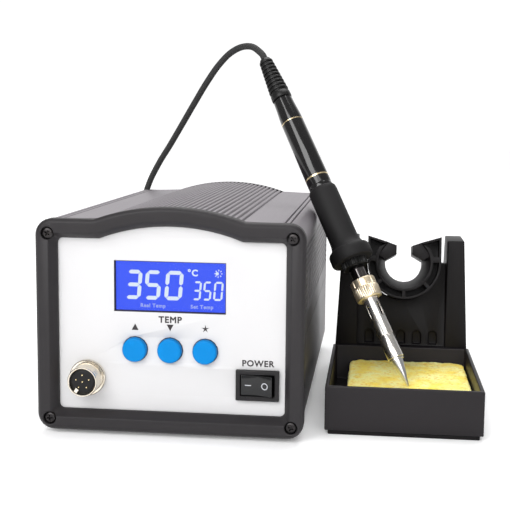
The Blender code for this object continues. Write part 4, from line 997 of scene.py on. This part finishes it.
@dataclass
class Display:
    """The lit display behind its window."""

    centre: Point = (-0.8, 73.0)
    size: Point = (54.7, 25.0)
    face: float = 8.55
    slant: float = 0.085
    relief: float = 0.14
    margin: float = 0.6
    back: float = 9.4
    module: tuple[Point, Point] = ((-32.8, 9.4, 56.0), (31.2, 16.6, 90.0))
    pane: tuple[float, float, float] = (0.5, 6.9, 7.9)
    rim: Sequence[Point] = ((0.0, 6.7), (0.0, 8.5), (0.45, 8.5), (0.35, 6.7))
    sun: Point = (50.0, 5.6)
    large: Sequence[tuple[str, float, float]] = (("3", 5.1, 7.9), ("5", 14.6, 7.9), ("0", 24.6, 8.6))
    small: Sequence[tuple[str, float, float]] = (("3", 38.4, 4.0), ("5", 43.4, 4.0), ("0", 48.5, 4.5))
    lit: dict[str, str] = field(default_factory=lambda: {"3": "abgcd", "5": "afgcd", "0": "abcdef"})

    def bar(self, name: str, ends: tuple[Point, Point], half: float) -> Piece:
        """Extrude one segment, a bar with mitred ends, between two points."""
        start, end = Vector(ends[0]), Vector(ends[1])
        along = (end - start).normalized()
        aside = Vector((-along.y, along.x)) * half
        tip = along * half
        outline = [start, start + tip + aside, end - tip + aside, end, end - tip - aside, start + tip - aside]
        outline = [(point.x + self.slant * (point.y - self.centre[1]), point.y) for point in outline]
        return plate(name, outline, self.face - self.relief, self.face)

    def digit(self, name: str, shape: str, left: float, low: float, wide: float, high: float,
              thick: float) -> Piece:
        """Join the lit segments of one digit.

        Args:
            name: the piece's name.
            shape: which digit it is.
            left: its left edge.
            low: its lower edge.
            wide: its width.
            high: its height.
            thick: the thickness of a segment.

        Returns:
            The digit.
        """
        half, gap = thick / 2, 0.12
        x0, x1 = left + half, left + wide - half
        z0, z1, z2 = low + half, low + high / 2, low + high - half
        bars = {"a": ((x0 + gap, z2), (x1 - gap, z2)), "b": ((x1, z1 + gap), (x1, z2 - gap)),
                "c": ((x1, z0 + gap), (x1, z1 - gap)), "d": ((x0 + gap, z0), (x1 - gap, z0)),
                "e": ((x0, z0 + gap), (x0, z1 - gap)), "f": ((x0, z1 + gap), (x0, z2 - gap)),
                "g": ((x0 + gap, z1), (x1 - gap, z1))}
        made = [self.bar(f"{name}_{key}", bars[key], half) for key in self.lit[shape]]
        return made[0].weld(*made[1:])

    def numbers(self) -> None:
        """Lay out the large and the small reading."""
        left = self.centre[0] - self.size[0] / 2
        bottom = self.centre[1] - self.size[1] / 2
        large = [self.digit(f"large_{shape}", shape, left + at, bottom + 5.8, wide, 14.4, 1.85)
                 for shape, at, wide in self.large]
        small = [self.digit(f"small_{shape}", shape, left + at, bottom + 6.2, wide, 9.3, 0.95)
                 for shape, at, wide in self.small]
        large[0].weld(*large[1:], *small).set_down(Body.BASE, SEGMENT)
        large[0].obj.name = "reading"

    def marks(self) -> None:
        """Make the degree sign and the sun."""
        left = self.centre[0] - self.size[0] / 2
        top = self.centre[1] + self.size[1] / 2
        matrix = Matrix.Translation((left + 38.1, self.face, top - 7.0))
        lettering("degrees", "°C", 4.3, matrix).set_down(Body.BASE, SEGMENT)
        middle = (left + self.sun[0], top - self.sun[1])
        sun = plate("sun", arc(middle, 0.8, 0, 345, 23), self.face - self.relief, self.face)
        for ray in range(8):
            start, end = (arc(middle, reach, 45 * ray, 45 * ray, 1)[0] for reach in (1.15, 2.1))
            sun.weld(self.bar(f"ray_{ray}", (start, end), 0.2))
        sun.set_down(Body.BASE, SEGMENT)
        for word, across, name in (("Real Temp", 18.6, "real"), ("Set Temp", 42.6, "set")):
            matrix = Matrix.Translation((left + across, self.face, top - self.size[1] + 2.1))
            lettering(f"legend_{name}", word, 2.5, matrix).set_down(Body.BASE, FAINT)

    def build(self) -> None:
        """Build the backlight, the readings, the dark surround and the window."""
        x, z = self.centre
        wide, high = self.size[0] / 2, self.size[1] / 2
        light = block("backlight", (x - wide - self.margin, self.face, z - high - self.margin),
                      (x + wide + self.margin, self.back, z + high + self.margin))
        light.set_down(Body.BASE, BACKLIGHT)
        body = block("display_body", *self.module).bevel(0.5)
        body.smooth().set_down(Body.BASE, BLACK_PART, "display_module")
        self.numbers()
        self.marks()
        rim_out = [Vector((x + sx * (wide - 0.02), 0.0, z + sz * (high - 0.02))) for sx, sz in CORNERS]
        loops = []
        for inset, depth in self.rim:
            loops.append([Vector((point.x - sx * inset, depth, point.z - sz * inset))
                          for point, (sx, sz) in zip(rim_out, CORNERS)])
        loft("window_rim", loops, Ends.RING).set_down(Body.BASE, INK_AND_GAP_SHADE)
        inset, front, back = self.pane
        pane = block("window_pane", (x - wide + inset, front, z - high + inset),
                     (x + wide - inset, back, z + high - inset))
        pane.bevel(0.15, 1).set_down(Body.BASE, WINDOW, "display_lens")


@dataclass
class FrontPanel:
    """The white panel, its marks, the three buttons, the rocker and the iron's socket."""

    buttons: Sequence[tuple[float, Body, str]] = ((-17.8, Body.UP, "up"), (-0.6, Body.DOWN, "down"),
                                                   (16.6, Body.SET, "set"))
    row: float = 42.2
    face: float = 6.3
    stand_out: float = 3.0
    ink: Point = (-0.05, 0.01)
    arrows: Sequence[tuple[str, Sequence[Point]]] = (
        ("up", ((-19.5, 51.6), (-16.1, 51.6), (-17.8, 54.8))),
        ("down", ((-2.3, 54.8), (-0.6, 51.6), (1.1, 54.8))))
    star: Point = (16.6, 53.2)
    star_radii: Point = (2.0, 0.6)
    words: Sequence[tuple[str, float, float, float]] = (("TEMP", -0.6, 55.7, 4.3), ("POWER", 42.2, 35.8, 4.1))
    swing: float = math.radians(18.0)
    socket_place: Point = (-41.3, -3.7, 27.5)
    socket_turn: float = math.radians(35)
    thread_turns: int = 6
    thread_pitch: float = 1.1
    pin_circle: float = 3.3

    def panel(self) -> None:
        """Take the panel over from the CAD."""
        copied("front_panel", "panel", False).smooth(30).set_down(Body.BASE, PANEL, "front_panel")

    def marks(self) -> None:
        """Print the arrows, the star and the generic words."""
        front, back = (self.face + depth for depth in self.ink)
        up, down = (plate(f"mark_{name}", outline, front, back) for name, outline in self.arrows)
        star = []
        for step in range(10):
            reach, angle = self.star_radii[step % 2], math.radians(36 * step)
            star.append((reach * math.sin(angle) + self.star[0], reach * math.cos(angle) + self.star[1]))
        up.weld(down, plate("mark_star", star, front, back))
        for word, x, z, high in self.words:
            up.weld(lettering(word, word, high, Matrix.Translation((x, self.face, z))))
        up.set_down(Body.BASE, INK_AND_GAP_SHADE)
        up.obj.name = "panel_marks"

    def button(self) -> None:
        """Turn one cap with a dished face and a skirt, and copy it three times."""
        profile = [(0.0, 0.06), (2.6, 0.05), (4.8, 0.0), (5.45, 0.12), (5.78, 0.42), (5.9, 0.9), (5.9, 4.6),
                   (0.0, 4.6)]
        model = turned("button", profile, 64).smooth(40)
        for x, body, name in self.buttons:
            matrix = placed(x, self.face - self.stand_out, self.row, TO_BACK)
            model.copy(f"cap_{name}", matrix).show(body, BUTTON, f"button_{name}")
        model.remove()
        # Painted shade: a thin dark ring on the panel round each button stands in for the shade in the gap.
        # It shares its material with the real print.
        ring = turned("button_gap", [(5.95, 0.0), (6.25, 0.0), (6.25, 0.04), (5.95, 0.04)], 64, Ends.RING)
        for x, _, name in self.buttons:
            ring.copy(f"gap_{name}", placed(x, self.face - 0.045, self.row, TO_BACK)).show(Body.BASE, INK_AND_GAP_SHADE)
        ring.remove()

    def rocker(self) -> None:
        """Shape the switch frame and the rocker with its moulded marks."""
        housing = copied("switch_housing", "switch_frame").bevel(0.45, 2, 40).smooth(32)
        housing.set_down(Body.BASE, SWITCH, "switch_housing")
        rocker = copied("power_rocker", "rocker").bevel(0.4, 3, 8).smooth(24)
        rocker.set_down(Body.ROCKER, ROCKER, "power_rocker")
        bar = block("mark_on", (-0.22, -0.05, -1.5), (0.22, 0.04, 1.5))
        bar.copy("mark_bar", placed(37.7, 4.56, 26.8, ALONG_X)).show(Body.ROCKER, MARK)
        bar.remove()
        ring = turned("mark_ring", [(1.25, 0.0), (1.7, 0.0), (1.7, 0.09), (1.25, 0.09)], 32, Ends.RING)
        matrix = placed(45.8, 3.36, 26.8, Euler((-math.pi / 2, 0.0, -self.swing)))
        ring.place(matrix).show(Body.ROCKER, MARK)

    def socket(self) -> None:
        """Turn the screened socket: a flange, a threaded barrel, an insert, pins and a key."""
        profile = [(8.0, 10.0), (8.8, 9.7), (8.8, 8.1), (8.5, 7.8), (7.55, 7.8)]
        for turn in range(self.thread_turns):
            drop = turn * self.thread_pitch
            profile += [(7.15, 7.4 - drop), (7.4, 7.1 - drop), (7.4, 6.75 - drop)]
        profile += [(7.3, 0.5), (7.0, 0.0), (6.65, 0.0), (6.4, 0.25), (6.4, 10.0)]
        shell = turned("socket_barrel", profile, 64, Ends.RING)
        key = block("key", (-0.9, -0.5, 0.0), (0.9, 1.6, 7.0)).place(Matrix.Translation((0.0, 5.4, 0.0)))
        shell.smooth(38)
        base = placed(*self.socket_place, TO_BACK) @ Matrix.Rotation(self.socket_turn, 4, "Z")
        shell.place(base).show(Body.BASE, NICKEL, "socket_shell")
        key.bevel(0.2).place(base @ Matrix.Translation((0.0, -0.6, 0.3))).show(Body.BASE, NICKEL)
        insert = [(0.0, 1.05), (5.2, 1.05), (5.6, 1.3), (5.7, 1.7), (5.7, 2.2), (6.35, 2.25), (6.35, 9.0),
                  (0.0, 9.0)]
        carrier = turned("insert", insert, 64).smooth(38)
        carrier.place(base).show(Body.BASE, BLACK_PART, "socket_pin_carrier")
        pin = turned("pin", [(0.0, 0.55), (0.28, 0.6), (0.5, 0.95), (0.5, 2.5), (0.0, 2.5)], 20).smooth(40)
        spots = arc((0.0, 0.0), self.pin_circle, 90, 450, 5)[:5] + [(0.0, 0.0)]
        for number, (x, y) in enumerate(spots, 1):
            pin.copy(f"socket_pin_{number}", base @ Matrix.Translation((x, y, 0.0))).show(Body.BASE, PIN)
        pin.remove()

    def build(self) -> None:
        """Build the panel."""
        self.panel()
        self.marks()
        self.button()
        self.rocker()
        self.socket()


# ---- stand ------------------------------------------------------------------------------------------
@dataclass
class Stand:
    """The moulded stand: a base plate, a tray with a sponge, a tower with niches and the iron's holder."""

    holder_centre: Point = (113.3, 89.5, 75.3)
    tilt: float = math.radians(-11.0)
    pockets: Sequence[Point] = ((-87, -48), (-42, 1), (-138, -93), (-181, -144))
    pocket_radii: Point = (15.9, 19.2)
    pocket_depths: Point = (-3.0, 11.0)
    horn: Sequence[Point] = ((16.2, 3.4), (19.2, 3.4), (19.2, 13.0), (10.2, 10.3), (14.2, 8.2))
    lip_front: Sequence[Point] = ((4.4, 4.6), (4.4, 9.5), (9.0, 11.1), (14.4, 4.0), (10.2, 1.2))
    lip_back: Sequence[Point] = ((4.4, 4.6), (4.4, 9.5), (7.0, 10.3), (11.6, 5.0), (10.2, 1.2))
    lip_depths: Point = (0.6, 13.0, 26.4)
    sponge_centre: Point = (116.1, 58.45, 0.0)
    sponge_half: Point = (32.25, 39.5)
    sponge_heights: Point = (5.3, 17.2)
    sponge_corner: float = 6.0
    grid: float = 0.75
    crumb: float = 3.4

    def shell(self) -> None:
        """Round the edges of the moulded base, tray and tower."""
        for node, name, radius, finish in (("stand_base_plate", "base_lip", 0.5, STAND),
                                           ("sponge_tray", "tray", 0.55, TRAY),
                                           ("stand_tower", "tower", 0.55, STAND)):
            piece = copied(node, name).bevel(radius, 3, 40).smooth(32)
            piece.set_down(Body.BASE, finish, node)

    def holder(self) -> None:
        """Cut moulded pockets into the holder's front and round its lips."""
        frame = Matrix.Translation(self.holder_centre) @ Matrix.Rotation(self.tilt, 4, "X")
        piece = copied("iron_holder", "holder").place(frame.inverted())
        cutters = []
        for number, angles in enumerate(self.pockets, 1):
            cutters.append(sector(f"pocket_{number}", self.pocket_radii, angles, self.pocket_depths, 7))
        for side in (-1, 1):
            outline = [(side * x, z) for x, z in self.horn]
            cutters.append(plate(f"horn_pocket_{side + 1}", outline, *self.pocket_depths))
        piece.cut(*cutters)
        lips = []
        for side in (-1, 1):
            outlines = (self.lip_front, self.lip_back, self.lip_back)
            loops = [[Vector((side * x, depth, z)) for x, z in outline]
                     for depth, outline in zip(self.lip_depths, outlines)]
            lips.append(loft(f"lip_{side + 1}", loops))
        piece.weld(*lips).bevel(0.35, 2, 42).smooth(32)
        piece.place(HERE @ frame).show(Body.BASE, STAND, "iron_holder")

    def sponge(self) -> None:
        """Swell, roughen and crumble a block of sponge with rounded corners."""
        half_x, half_y = self.sponge_half
        low, high = self.sponge_heights
        corner = self.sponge_corner
        outline: list[tuple[float, float]] = []
        for start, (sx, sy) in zip((180, 270, 0, 90), CORNERS):
            outline += arc((sx * (half_x - corner), sy * (half_y - corner)), corner, start, start + 90, 6)
        levels = ((low, 1.2), (low + 0.5, 0.4), (low + 1.6, 0.0), (high - 1.8, 0.0), (high - 0.6, 0.3),
                  (high - 0.1, 1.1))
        loops = []
        for z, inset in levels:
            loops.append([Vector((x * (1 - inset / half_x), y * (1 - inset / half_y), z))
                          for x, y in outline])
        body = loft("sponge_block", loops)
        body.modifier("REMESH", mode="VOXEL", voxel_size=self.grid)
        texture = bpy.data.textures.new("crumble", "CLOUDS")
        texture.noise_scale = self.crumb
        body.modifier("DISPLACE", texture=texture, strength=0.9, mid_level=0.68)
        body.smooth(80)
        body.place(placed(*self.sponge_centre)).show(Body.BASE, SPONGE, "sponge")

    def build(self) -> None:
        """Build the stand."""
        self.shell()
        self.holder()
        self.sponge()


# ---- iron -------------------------------------------------------------------------------------------
@dataclass
class Iron:
    """The soldering iron, modelled upright with its tip at the origin and leant into the stand."""

    tip: Point = (115.6, 44.7, 17.7)
    vent: tuple[Point, float, float] = ((40.0, 46.5), 0.9, 8.0)
    bands: Sequence[Point] = ((126.0, 126.9), (164.0, 164.5))
    ribs: int = 9
    rib_pitch: float = 2.55
    rib_taper: float = 0.21

    def stance(self) -> Matrix:
        """Return the matrix from the iron's own millimetres to the row frame."""
        turn = Matrix.Rotation(IRON_HEADING, 4, "Z") @ Matrix.Rotation(IRON_LEAN, 4, "Y")
        return placed(*self.tip) @ turn

    def fit(self, piece: Piece, finish: Finish, *nodes: str, body: Body = Body.IRON) -> None:
        """Lean a piece into the iron's place and show it."""
        piece.place(self.stance()).show(body, finish, *nodes)

    def bit(self) -> None:
        """Turn the cone and its shoulder."""
        profile = [(0.0, 0.0), (0.32, 0.08), (0.5, 0.35), (1.5, 5.2), (1.62, 5.5), (3.1, 13.6), (3.2, 14.6),
                   (3.9, 14.75), (3.9, 15.5), (0.0, 15.6)]
        self.fit(turned("bit", profile, 56).smooth(30), TINNED, "soldering_tip")

    def sleeve(self) -> None:
        """Turn the thin sleeve, with a step, a flange and four vents."""
        profile = [(4.0, 15.75), (4.22, 15.9), (4.3, 16.2), (4.3, 28.6), (4.22, 28.75), (4.22, 29.0),
                   (4.3, 29.15), (4.3, 54.3), (4.9, 54.5), (5.6, 54.6), (5.6, 55.7), (3.85, 55.7),
                   (3.85, 15.75)]
        body = turned("vented_sleeve", profile, 64, Ends.RING)
        (low, high), half, reach = self.vent
        outline = arc((0.0, low), half, 180, 360, 8) + arc((0.0, high), half, 0, 180, 8)
        for number in range(2):
            slot = loft(f"vent_{number}", [[Vector((x, y, z)) for y, z in outline] for x in (-reach, reach)])
            body.cut(slot.place(Matrix.Rotation(math.pi / 2 * number, 4, "Z")))
        self.fit(body.tidy().smooth(30), CHROME, "tip_sleeve")

    def nut(self) -> None:
        """Turn the knurled nut with its notched step."""
        def knurl(side: int, height: float) -> float:
            """Return how deep the knurl and the step's notches are."""
            if 51.2 < height < 57.0:
                return -0.28 * (side % 3 == 0)
            return -0.35 * (side % 9 == 0) if 57.4 < height < 61.2 else 0.0
        profile = [(4.7, 50.3), (6.3, 50.3), (6.85, 50.6), (7.0, 51.1), (7.2, 51.6), (7.2, 56.3), (7.0, 56.9),
                   (6.75, 57.2), (6.75, 57.8), (6.9, 58.0), (6.9, 60.9), (6.7, 61.5), (6.3, 61.8),
                   (6.0, 61.8), (6.0, 52.9), (4.7, 52.9)]
        body = turned("knurled_nut", profile, 108, Ends.RING, knurl).smooth(28)
        self.fit(body, GOLD_NUT, "tip_nut", body=Body.NUT)

    def neck(self) -> None:
        """Round the collar and turn the toothed crown."""
        collar = copied("handle_collar", "neck").bevel(0.25, 2).smooth(30)
        collar.set_down(Body.IRON, DARK_CHROME, "handle_collar")

        def teeth(side: int, height: float) -> float:
            """Return how deep the gaps between the teeth are."""
            return -0.75 * (side % 4 in (0, 1)) if 70.0 < height < 74.2 else 0.0
        crown = [(0.0, 69.5), (6.6, 69.5), (7.1, 69.8), (7.4, 70.3), (7.4, 73.8), (7.3, 74.4), (7.0, 75.0),
                 (0.0, 75.0)]
        body = turned("toothed_crown", crown, 96, Ends.CAPPED, teeth).smooth(26)
        self.fit(body, BLACK_PART, "handle_crown")

    def handle(self) -> None:
        """Turn the rubber grip, the glossy barrel with its gilt bands and the ribbed boot."""
        grip = [(0.0, 73.2), (10.3, 73.2), (11.2, 73.5), (11.65, 74.2), (11.8, 75.2), (11.8, 78.6),
                (11.6, 79.7), (11.1, 80.5), (10.2, 81.1), (9.3, 81.9), (8.6, 83.4), (8.25, 85.4), (8.1, 88.0),
                (8.1, 116.6), (7.9, 118.4), (7.35, 119.3), (6.6, 119.5), (0.0, 119.5)]
        self.fit(turned("handle_grip", grip, 72).smooth(32), GRIP, "grip_sleeve")
        barrel = [(0.0, 118.9), (6.7, 118.9), (6.8, 119.5), (6.8, 121.2), (6.72, 121.4), (6.72, 121.9),
                  (6.8, 122.1), (6.62, 150.0), (6.5, 166.0), (6.4, 168.6), (5.9, 174.6), (5.7, 178.6),
                  (5.6, 179.9), (5.2, 180.4), (0.0, 180.4)]
        self.fit(turned("gloss_barrel", barrel, 72).smooth(30), BARREL, "handle_barrel")
        for number, (low, high) in enumerate(self.bands, 1):
            reach = 6.8 - (low - 119.5) * 0.4 / 61.0
            inner, outer = reach - 0.3, reach + 0.02
            section = [(inner, low), (outer, low), (outer, high), (inner, high)]
            self.fit(turned(f"gilt_band_{number}", section, 72, Ends.RING).smooth(30), GOLD_MARK)
        boot = [(0.0, 180.7), (5.2, 180.7), (5.8, 181.0), (6.0, 181.8), (5.9, 184.5)]
        for rib in range(self.ribs):
            foot = 185.4 + rib * self.rib_pitch
            reach = 5.85 - self.rib_taper * rib
            boot += [(reach - 0.75, foot), (reach - 0.75, foot + 0.8), (reach - 0.1, foot + 1.0),
                     (reach, foot + 1.3), (reach, foot + 2.0), (reach - 0.1, foot + 2.3)]
        boot += [(3.5, 208.9), (3.2, 209.7), (2.5, 210.1), (0.0, 210.1)]
        self.fit(turned("ribbed_boot", boot, 56).smooth(40), BLACK_PART, "cord_boot")

    def build(self) -> None:
        """Build the iron."""
        self.bit()
        self.sleeve()
        self.nut()
        self.neck()
        self.handle()
        dress_nodes(CERAMIC, "heater_core")
        dress_nodes(NICKEL, "nut_washer")


# ---- cord -------------------------------------------------------------------------------------------
@dataclass
class IronCord:
    """The iron's silicone cord: from the boot over the back of the unit, into a coil and out to its plug."""

    radius: float = 2.0
    length: float = 1200.0
    boot_end: float = 210.4
    down: Sequence[Point] = (
        (25.0, 134.2, 193.6), (20.6, 138.6, 196.6), (14.0, 144.5, 197.4), (5.0, 151.5, 194.2),
        (-3.5, 157.5, 187.0), (-12.2, 164.0, 176.6), (-21.5, 171.5, 163.8), (-31.0, 179.5, 150.4),
        (-41.5, 188.0, 135.6),
        (-51.5, 196.5, 122.3), (-60.0, 204.0, 108.5), (-66.4, 210.2, 92.0), (-70.2, 214.6, 72.0),
        (-71.7, 217.4, 50.0), (-71.5, 219.4, 30.0), (-70.6, 222.4, 13.5), (-69.3, 228.0, 4.8),
        (-68.5, 236.0, 2.9))
    lead: Sequence[Point] = ((-30.0, 266.3, 2.6), (-22.0, 265.6, 3.2), (-14.0, 264.4, 4.8),
                             (-6.0, 263.3, 7.4), (1.0, 262.6, 9.0), (7.4, 262.5, 9.4), (12.0, 262.5, 9.4))
    coil_centre: Point = (-38.0, 236.0)
    plug_place: Point = (8.0, 262.5, 9.4)
    leave: int = 2550
    step: int = 15
    spacing: float = 2.0
    outer: float = 26.0
    rest: float = 2.25
    radii: Sequence[tuple[float, float]] = (
        (0, 30.5), (60, 26), (300, 26), (360, 22), (660, 22), (720, 18), (1020, 18), (1080, 14), (1620, 14),
        (1680, 18), (1980, 18), (2040, 22), (2340, 22), (2400, 26))
    heights: Sequence[tuple[float, float]] = ((0, 2.9), (60, 2.25), (1320, 2.25), (1380, 6.35))

    def boot(self, beyond: float) -> Vector:
        """Return a point on the iron's axis so far beyond the boot's end, in bench millimetres."""
        return HERE.inverted() @ Iron().stance() @ Vector((0.0, 0.0, self.boot_end + beyond))

    def wound(self, turn: float, reach: float, height: float) -> Vector:
        """Return a point of the coil, at an angle in radians round its centre."""
        across, along = self.coil_centre
        return Vector((across - reach * math.cos(turn), along + reach * math.sin(turn), height))

    def turns(self) -> list[Vector]:
        """Return the coil's centreline: four turns inwards on the table, then four outwards on top."""
        points = []
        for angle in range(self.step, self.leave, self.step):
            reach, height = self.eased(self.radii, angle), self.eased(self.heights, angle)
            points.append(self.wound(math.radians(angle), reach, height))
        for step in range(5):
            dip = math.radians(21.5 * step)
            reach, height = self.outer + 4.4 * math.sin(dip), self.rest + 4.2 * math.cos(dip)
            points.append(self.wound(math.radians(self.leave + self.step * step), reach, height))
        return points

    @staticmethod
    def eased(stops: Sequence[tuple[float, float]], place: float) -> float:
        """Return the value at a place between (place, value) stops, eased from one to the next."""
        for (start, low), (end, high) in zip(stops, stops[1:]):
            if place <= end:
                share = (place - start) / (end - start)
                return low + (high - low) * share * share * (3 - 2 * share)
        return stops[-1][1]

    def centreline(self) -> list[Vector]:
        """Return the whole centreline as close points in the row frame, by a spline through the route."""
        route = [self.boot(-6.0), self.boot(0.0), self.boot(3.0)] + [Vector(point) for point in self.down]
        route += self.turns() + [Vector(point) for point in self.lead]
        route.append(route[-1] * 2 - route[-2])
        line = []
        for before, start, end, after in zip(route, route[1:], route[2:], route[3:]):
            steps = max(2, round((end - start).length / self.spacing))
            for step in range(steps):
                line.append(bench(*self.between(before, start, end, after, step / steps)))
        return line + [bench(*route[-2])]

    @staticmethod
    def between(before: Vector, start: Vector, end: Vector, after: Vector, share: float) -> Vector:
        """Return a point of a smooth spline between the second and third of four points."""
        first, middle, last = (start - before).length, (end - start).length, (after - end).length
        leave = ((start - before) * (middle / first) + (end - start) * (first / middle)) / (first + middle)
        arrive = ((end - start) * (last / middle) + (after - end) * (middle / last)) / (middle + last)
        square, cube = share ** 2, share ** 3
        held = start * (2 * cube - 3 * square + 1) + end * (3 * square - 2 * cube)
        return held + (leave * (cube - 2 * square + share) + arrive * (cube - square)) * middle

    def tube(self, line: Sequence[Vector]) -> Piece:
        """Run a round tube along the centreline and turn it into a mesh."""
        deselect()
        bpy.ops.curve.primitive_nurbs_path_add()
        curve = bpy.context.object.data
        curve.splines.clear()
        spline = curve.splines.new("POLY")
        spline.points.add(len(line) - 1)
        for point, place in zip(spline.points, line):
            point.co = (*place, 1.0)
        curve.bevel_depth = self.radius * MM
        curve.bevel_resolution = 6
        curve.use_fill_caps = True
        bpy.ops.object.convert(target="MESH")
        return added("cord").edit(lambda: bpy.ops.mesh.remove_doubles(threshold=1e-6)).smooth(50)

    def plug(self) -> tuple[Piece, Piece]:
        """Turn the plug with its ribbed tail, and the coupling ring with its knurl."""
        tail = [(0.0, 0.0), (3.4, 0.0), (3.9, 0.4), (4.0, 1.2)]
        for rib in range(4):
            foot = 1.8 + 2.2 * rib
            inner, outer = 3.2 + 0.2 * rib, 4.1 + 0.35 * rib
            tail += [(inner, foot), (inner, foot + 0.7), (outer, foot + 1.0), (outer, foot + 1.8)]
        tail += [(6.6, 11.6), (7.4, 12.4), (7.6, 13.4), (7.6, 18.6), (7.2, 19.4), (6.1, 19.8), (6.1, 37.6),
                 (5.7, 38.0), (5.1, 38.0), (5.0, 33.0), (0.0, 33.0)]
        where = placed(*self.plug_place, ALONG_X)
        body = turned("plug", tail, 48).smooth(34).place(where).show(Body.BASE, BLACK_PART, "plug_body")

        def knurl(side: int, height: float) -> float:
            """Return how deep the ring's knurl is."""
            return -0.4 * (side % 4 in (0, 1)) if 22.0 < height < 30.0 else 0.0
        ring = [(6.5, 20.3), (8.6, 20.3), (9.1, 20.9), (9.1, 31.4), (8.6, 32.0), (8.4, 33.6), (8.1, 34.0),
                (6.5, 34.0)]
        collar = turned("plug_collar_ring", ring, 96, Ends.RING, knurl).smooth(28).place(where)
        collar.show(Body.PLUG_RING, NICKEL, "plug_ring")
        return body, collar

    def build(self) -> None:
        line = self.centreline()
        body = self.tube(line)
        plug, collar = self.plug()
        body.obj.data.materials.append(CORD.material())
        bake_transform(body.obj)
        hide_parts("iron_cord", "cord_coil", "cord_lead")
        run = sum((two - one).length for one, two in zip(line, line[1:]))
        LOG.info("the cord runs for %.0f mm", run / MM)


# ---- whole station ----------------------------------------------------------------------------------
@dataclass
class Station:
    """The whole soldering station on its stage."""

    parts: Sequence[Any] = field(default_factory=lambda: (FrontFrame(), Case(), Display(), FrontPanel(),
                                                          Stand(), Iron(), IronCord()))
    studio: Studio = field(default_factory=Studio)

    def build(self) -> None:
        """Build every sub-assembly and then the stage."""
        for part in self.parts:
            LOG.info("building %s", type(part).__name__)
            part.build()
        self.studio.build()


def main() -> None:
    """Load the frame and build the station."""
    logging.basicConfig(level=logging.INFO, format="%(name)s: %(message)s")
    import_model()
    Station().build()


if __name__ == "__main__":
    main()
